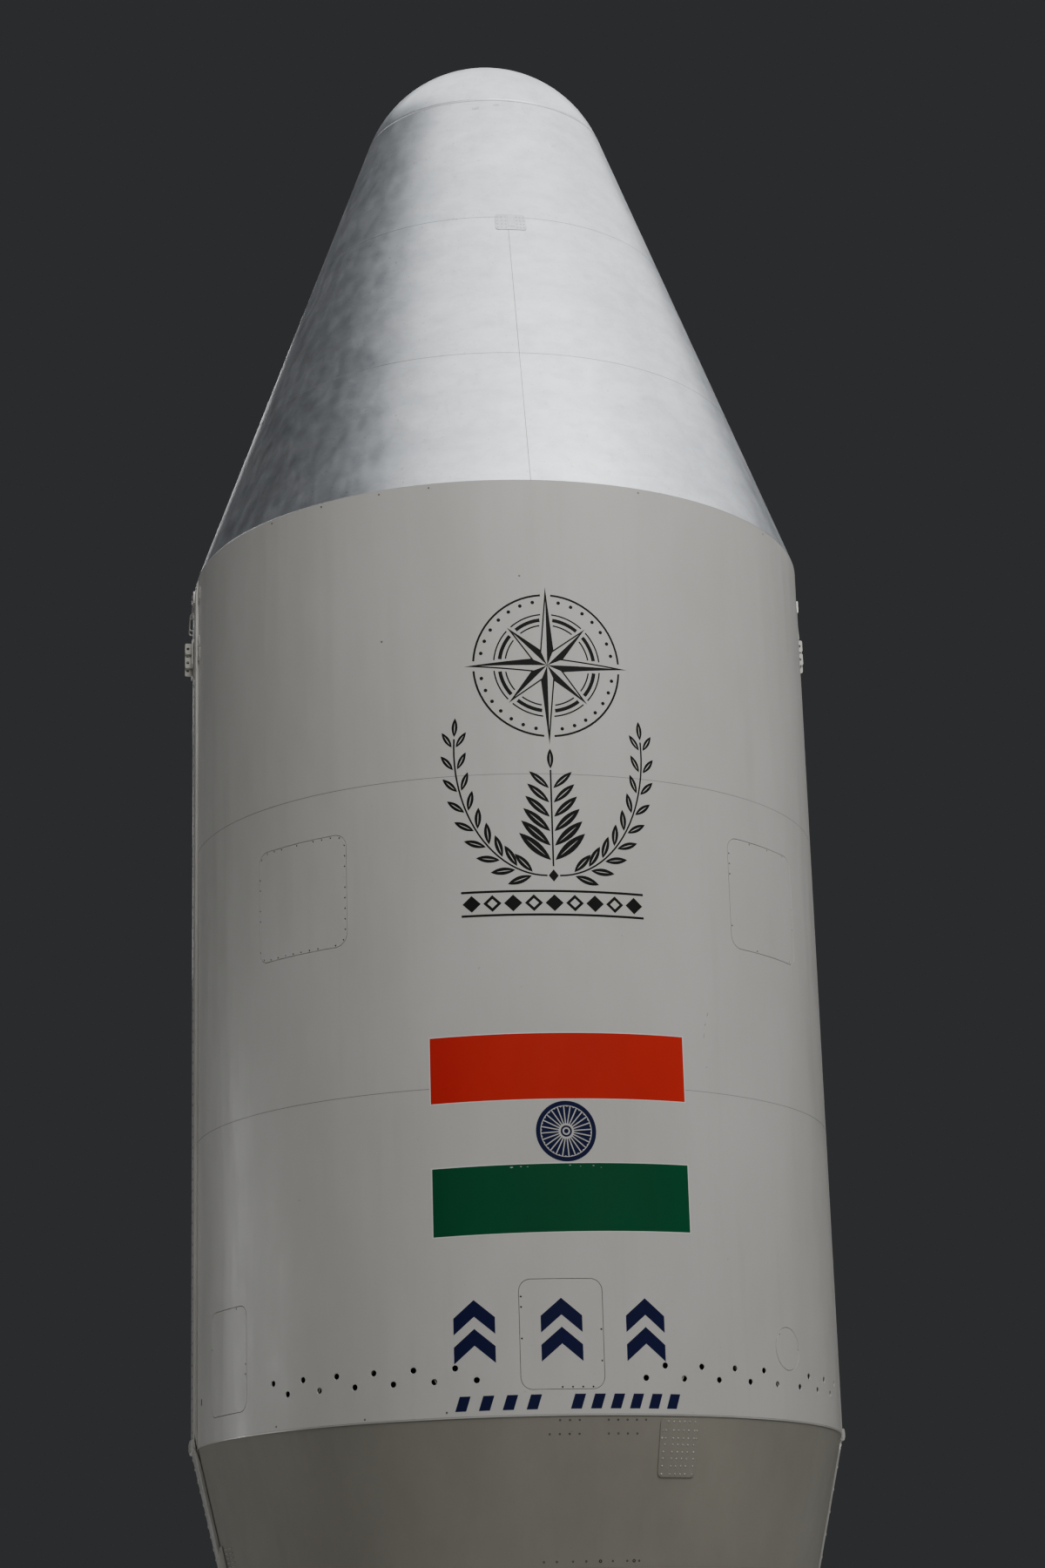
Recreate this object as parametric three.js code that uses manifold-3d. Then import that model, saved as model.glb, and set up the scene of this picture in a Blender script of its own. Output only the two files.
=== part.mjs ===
// Payload fairing of a space launcher: two half shells that close round the payload bay,
// standing on the short skirt that carries them. Millimetres, +Z up.
// The origin is on the floor under the middle of the skirt. -Y is the front, with the doors,
// and the two halves part at the plane y = 0. An azimuth is 0 at the front of its half and
// grows towards the right of a viewer who faces that half.

import * as THREE from "three";
import Module from "manifold-3d";

const wasm = await Module();
wasm.setup();

// Fairing body
const bodyRadius = 1600;
const barrelHeight = 1500;
const barrelNames = ["lower", "middle", "upper"];
const coneAngle = 20.1;
const lowerConeHeight = 810;
const middleConeHeight = 925;
const upperConeHeight = 849;
const capRadius = 693;
const capArcSteps = 6;
const tailAngle = 13.2;
const tailHeight = 750;
const baseRingHeight = 85;
const baseRingThickness = 46;
const coneSeamAzimuth = -0.9;

// Walls and the flanges that join the sections
const wallThickness = 24;
const flangeDepth = 70;
const flangeThickness = 12;
const seatGap = 0.4; // between two pieces that touch
const halfGap = 5; // between the closed halves
const plateSeatGap = 0.8; // under a thin plate that lies on a curved wall

// Skirt under the fairing
const skirtHeight = 600;
const skirtRadius = 1400;
const skirtFlangeThickness = 20;
const skirtFlangeInner = 1340;
const footRadius = 1430;
const deckHoleRadius = 600;
const deckThickness = 30;

// Joint rails along the split, lugs across it and brackets at its foot
const railWidth = 148;
const railThickness = 18;
const railTop = 4479; // above the foot of the cylinder
const railTaper = 70;
const lugReach = 1660;
const lugHoleRadius = 8;
const lugHoleOffset = 6; // outwards from the middle of the tab
const lugCorner = 8;
const lugPlateThickness = 10;
const lugPlateOffset = 4; // from the split plane
const lugPadThickness = 8;
const lugPadWidth = 76;
const bracketAzimuth = -82.5; // on a corner of the faceted wall
const bracketThickness = 16;
const bracketTop = 880;
const bracketBottom = 612;
const bracketLean = 36;
const bracketLegWidth = 24;
const bracketApexWidth = 6;
const bracketWebHeight = 110; // closed part above the opening
const bracketFootHeight = 20; // closed part below it

// Doors: a plate that lies on a lip round the opening, with a plug that fills the opening
const doorGap = 5;
const doorLipWidth = 24;
const doorLipThickness = 12;
const doorKinds = {
  upper: { barrel: "middle", centre: 2504, width: 567, height: 552, corner: 65 },
  lower: { barrel: "lower", centre: 359, width: 384, height: 495, corner: 55 },
  hatch: { barrel: "lower", centre: 331, diameter: 200 },
};

// Vent holes near the foot of the cylinder: rows of runs from one azimuth to another,
// with the hole left out where the round hatch reaches down
const ventDiameter = 29;
const ventStep = 7;
const ventLeftOut = 45.5;
const ventRows = [
  { height: 161, runs: [[-49, -14], [14, 63]] },
  { height: 217.5, runs: [[-52.5, -17.5], [17.5, 66.5]] },
];

// Angular steps: the bigger walls turn 7.5 degrees at a time, small curved plates 2.5
const wallStep = 7.5;
const plateStep = 2.5;

const radians = THREE.MathUtils.degToRad;
const coneSlope = Math.tan(radians(coneAngle));
const tailSlope = Math.tan(radians(tailAngle));
const halvesBase = skirtHeight + seatGap;
const tailBase = halvesBase + baseRingHeight;
const cylinderBase = halvesBase + tailHeight;
const shoulder = cylinderBase + barrelNames.length * barrelHeight;
const lowerConeTop = shoulder + lowerConeHeight;
const middleConeTop = lowerConeTop + middleConeHeight;
const capSeam = middleConeTop + upperConeHeight;
// The cap's sphere touches the cone from inside
const capCentre = shoulder + (bodyRadius - capRadius / Math.cos(radians(coneAngle))) / coneSlope;

const finishes = {
  white: { color: 0xb9b7b1, roughness: 0.45, metalness: 0.1 },
  silver: { color: 0xb4b9bd, roughness: 0.5, metalness: 0.45 },
  tail: { color: 0x8b867b, roughness: 0.55, metalness: 0.15 },
  rail: { color: 0xa3a29b, roughness: 0.45, metalness: 0.35 },
  lug: { color: 0xb3b1a8, roughness: 0.4, metalness: 0.6 },
  skirt: { color: 0x8f918f, roughness: 0.5, metalness: 0.3 },
  deck: { color: 0xa9a596, roughness: 0.6, metalness: 0.2 },
};

// Fairing, with one group for each half
const fairing = new THREE.Group();
const halfGroups = { front: new THREE.Group(), back: new THREE.Group() };
halfGroups.back.rotation.z = Math.PI;
fairing.add(halfGroups.front, halfGroups.back);

function addPart(group, name, geometry, finish) {
  const mesh = new THREE.Mesh(geometry, new THREE.MeshStandardMaterial(finishes[finish]));
  mesh.name = name;
  group.add(mesh);
}

// Outer radius of the fairing's wall at a height, below the cap
function wallRadius(height) {
  if (height < cylinderBase) return bodyRadius - (cylinderBase - height) * tailSlope;
  if (height > shoulder) return bodyRadius - (height - shoulder) * coneSlope;
  return bodyRadius;
}

// Turns a closed outline of [radius, height] points about the Z axis between two azimuths
function revolve(outline, from, to, step) {
  const steps = Math.max(1, Math.round((to - from) / step));
  const wholeTurn = to - from === 360;
  const columnCount = wholeTurn ? steps : steps + 1;
  const points = outline.map(([radius, height]) => new THREE.Vector2(radius, height));
  if (THREE.ShapeUtils.isClockWise(points)) points.reverse();
  const positions = [];
  const polePoints = new Map();
  const columns = [];
  for (let column = 0; column < columnCount; column += 1) {
    const azimuth = radians(from + ((to - from) * column) / steps);
    columns.push(points.map((point, row) => {
      if (point.x === 0 && polePoints.has(row)) return polePoints.get(row);
      const vertex = positions.length / 3;
      positions.push(point.x * Math.sin(azimuth), -point.x * Math.cos(azimuth), point.y);
      if (point.x === 0) polePoints.set(row, vertex);
      return vertex;
    }));
  }
  if (wholeTurn) columns.push(columns[0]);
  const triangles = [];
  for (let column = 0; column + 1 < columns.length; column += 1) {
    for (let row = 0; row < points.length; row += 1) {
      const next = (row + 1) % points.length;
      const a = columns[column][row];
      const b = columns[column][next];
      const c = columns[column + 1][next];
      const d = columns[column + 1][row];
      if (a !== d) triangles.push(a, d, b);
      if (b !== c) triangles.push(b, d, c);
    }
  }
  if (!wholeTurn) {
    const first = columns[0];
    const last = columns[columns.length - 1];
    for (const [a, b, c] of THREE.ShapeUtils.triangulateShape(points, [])) {
      triangles.push(first[a], first[b], first[c], last[c], last[b], last[a]);
    }
  }
  const geometry = new THREE.BufferGeometry();
  geometry.setAttribute("position", new THREE.Float32BufferAttribute(positions, 3));
  geometry.setIndex(triangles);
  return geometry;
}

// A flat outline with holes, pushed out to a depth, with its shared corners merged
function extrude(points, holes, depth) {
  const rings = [points, ...holes].map((ring) => {
    const corners = ring.map(([x, y]) => new THREE.Vector2(x, y));
    return THREE.ShapeUtils.isClockWise(corners) ? corners.reverse() : corners;
  });
  for (const hole of rings.slice(1)) hole.reverse();
  const corners = rings.flat();
  const positions = [];
  for (const z of [0, depth]) {
    for (const corner of corners) positions.push(corner.x, corner.y, z);
  }
  const triangles = [];
  for (const [a, b, c] of THREE.ShapeUtils.triangulateShape(rings[0], rings.slice(1))) {
    triangles.push(c, b, a, a + corners.length, b + corners.length, c + corners.length);
  }
  let start = 0;
  for (const ring of rings) {
    ring.forEach((corner, at) => {
      const a = start + at;
      const b = start + ((at + 1) % ring.length);
      triangles.push(a, b, b + corners.length, a, b + corners.length, a + corners.length);
    });
    start += ring.length;
  }
  const geometry = new THREE.BufferGeometry();
  geometry.setAttribute("position", new THREE.Float32BufferAttribute(positions, 3));
  geometry.setIndex(triangles);
  return geometry;
}

function solidOf(geometry) {
  return new wasm.Manifold(new wasm.Mesh({
    numProp: 3,
    vertProperties: new Float32Array(geometry.attributes.position.array),
    triVerts: new Uint32Array(geometry.index.array),
  }));
}

function geometryOf(solid) {
  const mesh = solid.getMesh();
  const geometry = new THREE.BufferGeometry();
  geometry.setAttribute("position", new THREE.Float32BufferAttribute(mesh.vertProperties, 3));
  geometry.setIndex(Array.from(mesh.triVerts));
  return geometry;
}

// A box between two corners
function boxSolid(low, high) {
  const outline = [[low[0], low[1]], [high[0], low[1]], [high[0], high[1]], [low[0], high[1]]];
  const geometry = extrude(outline, [], high[2] - low[2]);
  geometry.translate(0, 0, low[2]);
  return solidOf(geometry);
}

// Everything on the front half's side of the split, clear of the split plane
const frontSide = boxSolid([-2000, -2000, 0], [2000, -halfGap / 2, 10000]);

function frontHalf(outline) {
  return solidOf(revolve(outline, -90, 90, wallStep)).intersect(frontSide);
}

// Section of a wall between two heights, with a flange turned inwards at each end
function shellOutline(low, high) {
  const bottom = low + seatGap / 2;
  const top = high - seatGap / 2;
  const at = (height, depth) => [wallRadius(height) - depth, height];
  return [
    at(bottom, 0),
    at(top, 0),
    at(top, flangeDepth),
    at(top - flangeThickness, flangeDepth),
    at(top - flangeThickness, wallThickness),
    at(bottom + flangeThickness, wallThickness),
    at(bottom + flangeThickness, flangeDepth),
    at(bottom, flangeDepth),
  ];
}

// Rounded rectangle about the origin
function roundedRectangle(width, height, corner) {
  const shape = new THREE.Shape();
  const x = width / 2;
  const y = height / 2;
  shape.moveTo(-x + corner, -y);
  shape.lineTo(x - corner, -y);
  shape.absarc(x - corner, -y + corner, corner, -Math.PI / 2, 0, false);
  shape.lineTo(x, y - corner);
  shape.absarc(x - corner, y - corner, corner, 0, Math.PI / 2, false);
  shape.lineTo(-x + corner, y);
  shape.absarc(-x + corner, y - corner, corner, Math.PI / 2, Math.PI, false);
  shape.lineTo(-x, -y + corner);
  shape.absarc(-x + corner, -y + corner, corner, Math.PI, 1.5 * Math.PI, false);
  const points = shape.extractPoints(5).shape.map((point) => [point.x, point.y]);
  return points.filter(([px, py], at) => {
    const [nextX, nextY] = points[(at + 1) % points.length];
    return Math.hypot(px - nextX, py - nextY) > 0.01;
  });
}

function circle(diameter, count) {
  return Array.from({ length: count }, (unused, at) => {
    const angle = (2 * Math.PI * at) / count;
    return [(diameter / 2) * Math.cos(angle), (diameter / 2) * Math.sin(angle)];
  });
}

// Stands a flat outline's prism across the wall, pointing out at an azimuth
const prismInset = 300;
function prismThroughWall(points, azimuth, height) {
  const start = bodyRadius - prismInset;
  const geometry = extrude(points, [], prismInset + 100);
  const turn = radians(azimuth);
  const along = new THREE.Vector3(Math.cos(turn), Math.sin(turn), 0);
  const up = new THREE.Vector3(0, 0, 1);
  const out = new THREE.Vector3(Math.sin(turn), -Math.cos(turn), 0);
  const place = new THREE.Matrix4().makeBasis(along, up, out);
  place.setPosition(out.x * start, out.y * start, height);
  geometry.applyMatrix4(place);
  return solidOf(geometry);
}

// Access doors. A kind's centre is the height of its middle above the foot of the cylinder,
// and its width, height and corner are those of the seam line.
const doors = [
  { half: "front", name: "upper_left_door", kind: "upper", azimuth: -45.6 },
  { half: "front", name: "upper_right_door", kind: "upper", azimuth: 45.6 },
  { half: "front", name: "lower_centre_door", kind: "lower", azimuth: 0 },
  { half: "front", name: "lower_left_door", kind: "lower", azimuth: -66.8 },
  { half: "front", name: "round_hatch", kind: "hatch", azimuth: 45.6 },
  { half: "back", name: "upper_left_door", kind: "upper", azimuth: -45.6 },
  { half: "back", name: "upper_right_door", kind: "upper", azimuth: 45.6 },
  { half: "back", name: "lower_centre_door", kind: "lower", azimuth: 0 },
];

// Prism of a door's outline, grown or shrunk on every side
function doorPrism(door, growth) {
  const kind = doorKinds[door.kind];
  const outline = kind.diameter
    ? circle(kind.diameter + 2 * growth, 24)
    : roundedRectangle(kind.width + 2 * growth, kind.height + 2 * growth, kind.corner + growth);
  return prismThroughWall(outline, door.azimuth, cylinderBase + kind.centre);
}

// The lip keeps the inner part of the wall, and the door's plate lies in the outer part
const lipRadius = bodyRadius - wallThickness + doorLipThickness;

function cutDoorway(wall, door) {
  const { centre, diameter, height = diameter } = doorKinds[door.kind];
  const middle = cylinderBase + centre;
  const core = frontHalf([
    [bodyRadius - prismInset - 50, middle - height],
    [lipRadius, middle - height],
    [lipRadius, middle + height],
    [bodyRadius - prismInset - 50, middle + height],
  ]);
  const recess = doorPrism(door, doorGap / 2).subtract(core);
  return wall.subtract(recess).subtract(doorPrism(door, doorGap / 2 - doorLipWidth));
}

function doorPanel(door) {
  const { centre, diameter, width = diameter, height = diameter } = doorKinds[door.kind];
  const middle = cylinderBase + centre;
  const turn = THREE.MathUtils.radToDeg(width / 2 / bodyRadius) + plateStep;
  const layer = (inner, outer) => solidOf(revolve([
    [inner, middle - height],
    [outer, middle - height],
    [outer, middle + height],
    [inner, middle + height],
  ], door.azimuth - turn, door.azimuth + turn, plateStep));
  const plateInner = lipRadius + plateSeatGap;
  const plate = layer(plateInner, bodyRadius).intersect(doorPrism(door, -doorGap / 2));
  const plug = layer(bodyRadius - wallThickness, plateInner + plateSeatGap)
    .intersect(doorPrism(door, -doorGap / 2 - doorLipWidth));
  return geometryOf(plate.add(plug));
}

// Nose cap: a thin spherical dome with a flange at its seam
function capOutline() {
  const low = capSeam + seatGap / 2;
  const outer = [];
  const inner = [];
  for (let step = 0; step <= capArcSteps; step += 1) {
    const angle = radians((90 - coneAngle) * (1 - step / capArcSteps));
    outer.push([capRadius * Math.sin(angle), capCentre + capRadius * Math.cos(angle)]);
    const innerRadius = capRadius - wallThickness;
    inner.push([innerRadius * Math.sin(angle), capCentre + innerRadius * Math.cos(angle)]);
  }
  outer[capArcSteps][0] = 0;
  inner[capArcSteps][0] = 0;
  inner.reverse();
  const flangeInner = wallRadius(low) - flangeDepth;
  const wallInner = wallRadius(low) - wallThickness / Math.cos(radians(coneAngle));
  return [
    [wallRadius(low), low],
    ...outer,
    ...inner.slice(0, capArcSteps),
    [wallInner, low + flangeThickness],
    [flangeInner, low + flangeThickness],
    [flangeInner, low],
  ];
}

// A stretch of the cone; an end at the middle seam stays clear of its neighbour
function conePanel(low, high, from, to) {
  const seamStep = THREE.MathUtils.radToDeg(seatGap / 2 / wallRadius(high));
  const start = from === -90 ? from : from + seamStep;
  const end = to === 90 ? to : to - seamStep;
  const panel = solidOf(revolve(shellOutline(low, high), start, end, wallStep));
  return geometryOf(panel.intersect(frontSide));
}

function cutVents(wall) {
  let cut = wall;
  for (const { height, runs } of ventRows) {
    for (const [from, to] of runs) {
      for (let azimuth = from; azimuth <= to; azimuth += ventStep) {
        if (azimuth === ventLeftOut) continue;
        cut = cut.subtract(prismThroughWall(circle(ventDiameter, 12), azimuth, cylinderBase + height));
      }
    }
  }
  return cut;
}

function barrel(half, name, at) {
  const low = cylinderBase + at * barrelHeight;
  let wall = frontHalf(shellOutline(low, low + barrelHeight));
  for (const door of doors) {
    if (door.half === half && doorKinds[door.kind].barrel === name) wall = cutDoorway(wall, door);
  }
  return geometryOf(name === "lower" ? cutVents(wall) : wall);
}

// Machined ring at the foot of the tail
function baseRing() {
  const top = tailBase - seatGap / 2;
  return geometryOf(frontHalf([
    [wallRadius(halvesBase), halvesBase],
    [wallRadius(top), top],
    [wallRadius(top) - baseRingThickness, top],
    [wallRadius(halvesBase) - baseRingThickness, halvesBase],
  ]));
}

// Cover strip along the split: down the cylinder, then in along the tail
function rail(side) {
  const top = cylinderBase + railTop;
  const foot = halvesBase + flangeThickness;
  const turn = THREE.MathUtils.radToDeg(railWidth / bodyRadius);
  const outline = [
    [bodyRadius + seatGap, top],
    [bodyRadius + seatGap, cylinderBase],
    [wallRadius(foot) + seatGap, foot],
    [wallRadius(foot) + railThickness, foot],
    [bodyRadius + railThickness, cylinderBase],
    [bodyRadius + railThickness, top - railTaper],
    [bodyRadius + railThickness / 3, top],
  ];
  const from = side < 0 ? -90 : 90 - turn;
  return geometryOf(solidOf(revolve(outline, from, from + turn, turn / 2)).intersect(frontSide));
}

// Lugs: two drilled tabs beside the split plane, on a pad that lies on the rail.
// The heights are those of the tabs' holes above the foot of the cylinder.
const lugs = [
  { half: "front", side: -1, tabHeight: 58, holes: [4146, 4069] },
  { half: "front", side: 1, tabHeight: 64, holes: [4218, 4143] },
  { half: "back", side: 1, tabHeight: 58, holes: [4107, 4030] },
  { half: "back", side: -1, tabHeight: 64, holes: [4179, 4104] },
];

function lug({ side, tabHeight, holes }) {
  const seat = bodyRadius + railThickness + seatGap;
  const low = cylinderBase + Math.min(...holes) - tabHeight / 2;
  const high = cylinderBase + Math.max(...holes) + tabHeight / 2;
  const near = -lugPlateOffset;
  const pad = boxSolid([seat, near - lugPadWidth, low], [seat + lugPadThickness, near, high]);
  let lugSolid = pad;
  for (const hole of holes) {
    const middle = cylinderBase + hole;
    const outline = roundedRectangle(lugReach - seat, tabHeight, lugCorner);
    const bore = circle(2 * lugHoleRadius, 12).map(([x, y]) => [x + lugHoleOffset, y]);
    const tab = extrude(outline, [bore], lugPlateThickness);
    tab.rotateX(Math.PI / 2);
    tab.translate((lugReach + seat) / 2, near, middle);
    lugSolid = lugSolid.add(solidOf(tab));
  }
  const geometry = geometryOf(lugSolid);
  return side > 0 ? geometry : mirrorX(geometry);
}

// The same piece on the other side of the half
function mirrorX(geometry) {
  geometry.scale(-1, 1, 1);
  const index = geometry.index.array;
  for (let at = 0; at < index.length; at += 3) {
    [index[at], index[at + 1]] = [index[at + 1], index[at]];
  }
  return geometry;
}

// Open A-shaped gusset on the tail, beside the left rail: one leg along the tail, one upright
function bracket() {
  const onTail = (height, out) => [wallRadius(height) + plateSeatGap + out, height];
  const legFoot = wallRadius(bracketTop) + bracketLean;
  const outline = [
    onTail(bracketTop, 0),
    onTail(bracketBottom, 0),
    [legFoot, bracketBottom],
    onTail(bracketTop, bracketApexWidth),
  ];
  const opening = [
    onTail(bracketBottom + bracketFootHeight, bracketLegWidth),
    [legFoot - bracketLegWidth * 0.8, bracketBottom + bracketFootHeight],
    onTail(bracketTop - bracketWebHeight, bracketLegWidth * 0.9),
  ];
  const plate = extrude(outline, [opening], bracketThickness);
  const turn = radians(bracketAzimuth);
  const out = new THREE.Vector3(Math.sin(turn), -Math.cos(turn), 0);
  const up = new THREE.Vector3(0, 0, 1);
  const across = new THREE.Vector3().crossVectors(out, up);
  plate.translate(0, 0, -bracketThickness / 2);
  plate.applyMatrix4(new THREE.Matrix4().makeBasis(out, up, across));
  return plate;
}

// Thin plate that lies on the wall between two heights and two azimuths
function wallPlate(low, high, from, to, thickness) {
  return revolve([
    [wallRadius(low) + plateSeatGap, low],
    [wallRadius(low) + plateSeatGap + thickness, low],
    [wallRadius(high) + plateSeatGap + thickness, high],
    [wallRadius(high) + plateSeatGap, high],
  ], from, to, plateStep);
}

function ring(inner, outer, low, high) {
  return revolve([[inner, low], [outer, low], [outer, high], [inner, high]], -180, 180, wallStep);
}

// Skirt that carries the fairing, with the payload deck inside its top ring
const skirtTop = skirtHeight - skirtFlangeThickness;
addPart(fairing, "skirt_foot_ring", ring(skirtFlangeInner, footRadius, 0, skirtFlangeThickness), "skirt");
addPart(
  fairing,
  "skirt_wall",
  ring(skirtRadius - wallThickness, skirtRadius, skirtFlangeThickness + seatGap, skirtTop - seatGap),
  "skirt",
);
addPart(
  fairing,
  "skirt_top_ring",
  ring(skirtFlangeInner, wallRadius(halvesBase), skirtTop, skirtHeight),
  "skirt",
);
addPart(
  fairing,
  "payload_deck",
  ring(deckHoleRadius, skirtFlangeInner - seatGap, skirtHeight - deckThickness, skirtHeight),
  "deck",
);

// The two halves, each made as the front one
for (const half of ["front", "back"]) {
  const group = halfGroups[half];
  addPart(group, `${half}_base_ring`, baseRing(), "tail");
  addPart(group, `${half}_boat_tail`, geometryOf(frontHalf(shellOutline(tailBase, cylinderBase))), "tail");
  barrelNames.forEach((name, at) => {
    addPart(group, `${half}_${name}_barrel`, barrel(half, name, at), "white");
  });
  for (const [name, low, high] of [
    ["lower", shoulder, lowerConeTop],
    ["middle", lowerConeTop, middleConeTop],
  ]) {
    addPart(group, `${half}_${name}_cone_left`, conePanel(low, high, -90, coneSeamAzimuth), "silver");
    addPart(group, `${half}_${name}_cone_right`, conePanel(low, high, coneSeamAzimuth, 90), "silver");
  }
  addPart(group, `${half}_upper_cone`, conePanel(middleConeTop, capSeam, -90, 90), "silver");
  addPart(group, `${half}_nose_cap`, geometryOf(frontHalf(capOutline())), "silver");
  for (const [side, name] of [[-1, "left"], [1, "right"]]) {
    const row = lugs.find((candidate) => candidate.half === half && candidate.side === side);
    addPart(group, `${half}_${name}_rail`, rail(side), "rail");
    addPart(group, `${half}_${name}_lugs`, lug(row), "lug");
  }
  addPart(group, `${half}_tail_bracket`, bracket(), "lug");
}

for (const door of doors) {
  addPart(halfGroups[door.half], `${door.half}_${door.name}`, doorPanel(door), "white");
}

// Plates on the front half: the riveted doubler on the tail, and the cover over the cone's seams.
// Their heights are from the foot of the cylinder and from the top of the middle cone.
const doubler = { low: -275, high: -18, from: 16.4, to: 23.5, thickness: 5 };
const seamCover = { low: -90, high: 22, from: -4.8, to: 4.7, thickness: 4 };
for (const [name, plate, level, finish] of [
  ["front_tail_doubler", doubler, cylinderBase, "tail"],
  ["front_seam_cover", seamCover, middleConeTop, "silver"],
]) {
  const geometry = wallPlate(level + plate.low, level + plate.high, plate.from, plate.to, plate.thickness);
  addPart(halfGroups.front, name, geometry, finish);
}

export default fairing;
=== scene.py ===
import math
import random

import bpy
from mathutils import Matrix, Vector
from mathutils.geometry import delaunay_2d_cdt


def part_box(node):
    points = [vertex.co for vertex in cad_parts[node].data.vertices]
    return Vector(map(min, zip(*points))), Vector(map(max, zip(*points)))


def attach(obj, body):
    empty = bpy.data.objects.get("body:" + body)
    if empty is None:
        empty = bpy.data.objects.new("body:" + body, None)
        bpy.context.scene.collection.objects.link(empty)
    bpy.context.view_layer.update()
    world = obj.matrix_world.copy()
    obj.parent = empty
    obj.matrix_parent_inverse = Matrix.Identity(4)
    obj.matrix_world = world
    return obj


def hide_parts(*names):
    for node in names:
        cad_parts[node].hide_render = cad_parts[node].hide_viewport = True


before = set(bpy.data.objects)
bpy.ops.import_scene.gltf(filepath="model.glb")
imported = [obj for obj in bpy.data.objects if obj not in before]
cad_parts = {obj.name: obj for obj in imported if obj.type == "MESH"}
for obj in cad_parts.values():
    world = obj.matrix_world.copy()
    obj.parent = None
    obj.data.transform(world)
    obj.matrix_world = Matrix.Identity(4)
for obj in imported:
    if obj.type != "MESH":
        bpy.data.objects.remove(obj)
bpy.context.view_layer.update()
scene = bpy.context.scene
random.seed(12)

# Payload fairing of a launcher. Metres, +Z up, the front half on the -Y side.
# An azimuth is in degrees from the middle of its half, and grows to the right of a viewer.

# heights of the seams, and the wall's radius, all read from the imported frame
def seamBetween(lower, upper):
    return (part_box(lower)[1].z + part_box(upper)[0].z) / 2


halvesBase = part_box("front_base_ring")[0].z
tailBase = seamBetween("front_base_ring", "front_boat_tail")
cylinderBase = seamBetween("front_boat_tail", "front_lower_barrel")
middleSeam = seamBetween("front_lower_barrel", "front_middle_barrel")
upperSeam = seamBetween("front_middle_barrel", "front_upper_barrel")
shoulder = seamBetween("front_upper_barrel", "front_lower_cone_left")
lowerConeTop = seamBetween("front_lower_cone_left", "front_middle_cone_left")
middleConeTop = seamBetween("front_middle_cone_left", "front_upper_cone")
capSeam = seamBetween("front_upper_cone", "front_nose_cap")
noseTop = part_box("front_nose_cap")[1].z
bodyRadius = -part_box("front_lower_barrel")[0].y
capSeamRadius = -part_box("front_nose_cap")[0].y
tailBaseRadius = -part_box("front_base_ring")[0].y
coneSlope = (bodyRadius - capSeamRadius) / (capSeam - shoulder)
tailSlope = (bodyRadius - tailBaseRadius) / (cylinderBase - tailBase)
coneAngle = math.atan(coneSlope)
coneApex = shoulder + bodyRadius / coneSlope
capRadius = (coneApex - noseTop) / (1 / math.sin(coneAngle) - 1)
capCentre = noseTop - capRadius
halfTurn = {"front": 0, "back": 180}
splitGap = 0.0025   # from each half to the split plane
edgeAzimuth = 90 - math.degrees(splitGap / bodyRadius)
coneSeam = -0.9     # azimuth of the seam between the cone's left and right panels
overlap = 0.0005    # of two solids where they join
headRoot = 0.001    # from a screw's seat down to its first ring
ringStep = 0.035    # between points along the long sides of an outline

# camera, at the photograph's place on the floor
cameraSpot = {
    "azimuth": -7.5,        # degrees round from the front
    "distance": 16.0136,    # from the fairing's axis
    "height": 0.018,
    "turn": 0.403,          # degrees to the right of the axis
    "tilt": 16.54,          # upwards
    "roll": -1.64,
    "lens": 72.756,         # mm on a 36 mm long side
}


def makeCamera(spot):
    turn, tilt, roll = (math.radians(spot[key]) for key in ("turn", "tilt", "roll"))
    forward = Vector((math.sin(turn) * math.cos(tilt), math.cos(turn) * math.cos(tilt), math.sin(tilt)))
    level = Vector((math.cos(turn), -math.sin(turn), 0))
    lift = level.cross(forward)
    right = level * math.cos(roll) + lift * math.sin(roll)
    up = lift * math.cos(roll) - level * math.sin(roll)
    view = Matrix((right, up, -forward)).transposed().to_4x4()
    view.translation = (0, -spot["distance"], spot["height"])
    lens = bpy.data.cameras.new("camera")
    lens.lens = spot["lens"]
    lens.sensor_width = 36
    lens.clip_end = 200
    camera = bpy.data.objects.new("camera", lens)
    camera.matrix_world = Matrix.Rotation(math.radians(spot["azimuth"]), 4, "Z") @ view
    scene.collection.objects.link(camera)
    scene.camera = camera


makeCamera(cameraSpot)
print("camera made")


# A shape gathers points and faces before it becomes a piece
def newShape():
    return {"points": [], "faces": [], "finishes": [], "wallSides": []}


# wallSide is 1 for a face that follows the wall outwards, -1 inwards, 0 for any other
def addFaces(shape, points, faces, finish=0, wallSide=0):
    first = len(shape["points"])
    shape["points"] += [tuple(point) for point in points]
    shape["faces"] += [tuple(first + corner for corner in face) for face in faces]
    shape["finishes"] += [finish] * len(faces)
    shape["wallSides"] += [wallSide] * len(faces)


def wallRadius(height):
    if height < cylinderBase:
        return bodyRadius - (cylinderBase - height) * tailSlope
    if height > shoulder:
        return bodyRadius - (height - shoulder) * coneSlope
    return bodyRadius


def wallNormal(point):
    slope = 0
    if point.z < cylinderBase:
        slope = -tailSlope
    elif point.z > shoulder:
        slope = coneSlope
    radius = math.hypot(point.x, point.y)
    return Vector((point.x / radius, point.y / radius, slope)).normalized()


def spot(half, azimuth, radius, height):
    angle = math.radians(azimuth + halfTurn[half])
    return (radius * math.sin(angle), -radius * math.cos(angle), height)


# Places flat (u, v) drawings on the wall: u is round the body, v is the height, depth is inwards
def onWall(half, lift=0.0, reference=bodyRadius):
    def place(u, v, depth):
        return spot(half, math.degrees(u / reference), wallRadius(v) + lift - depth, v)
    return place


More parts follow.
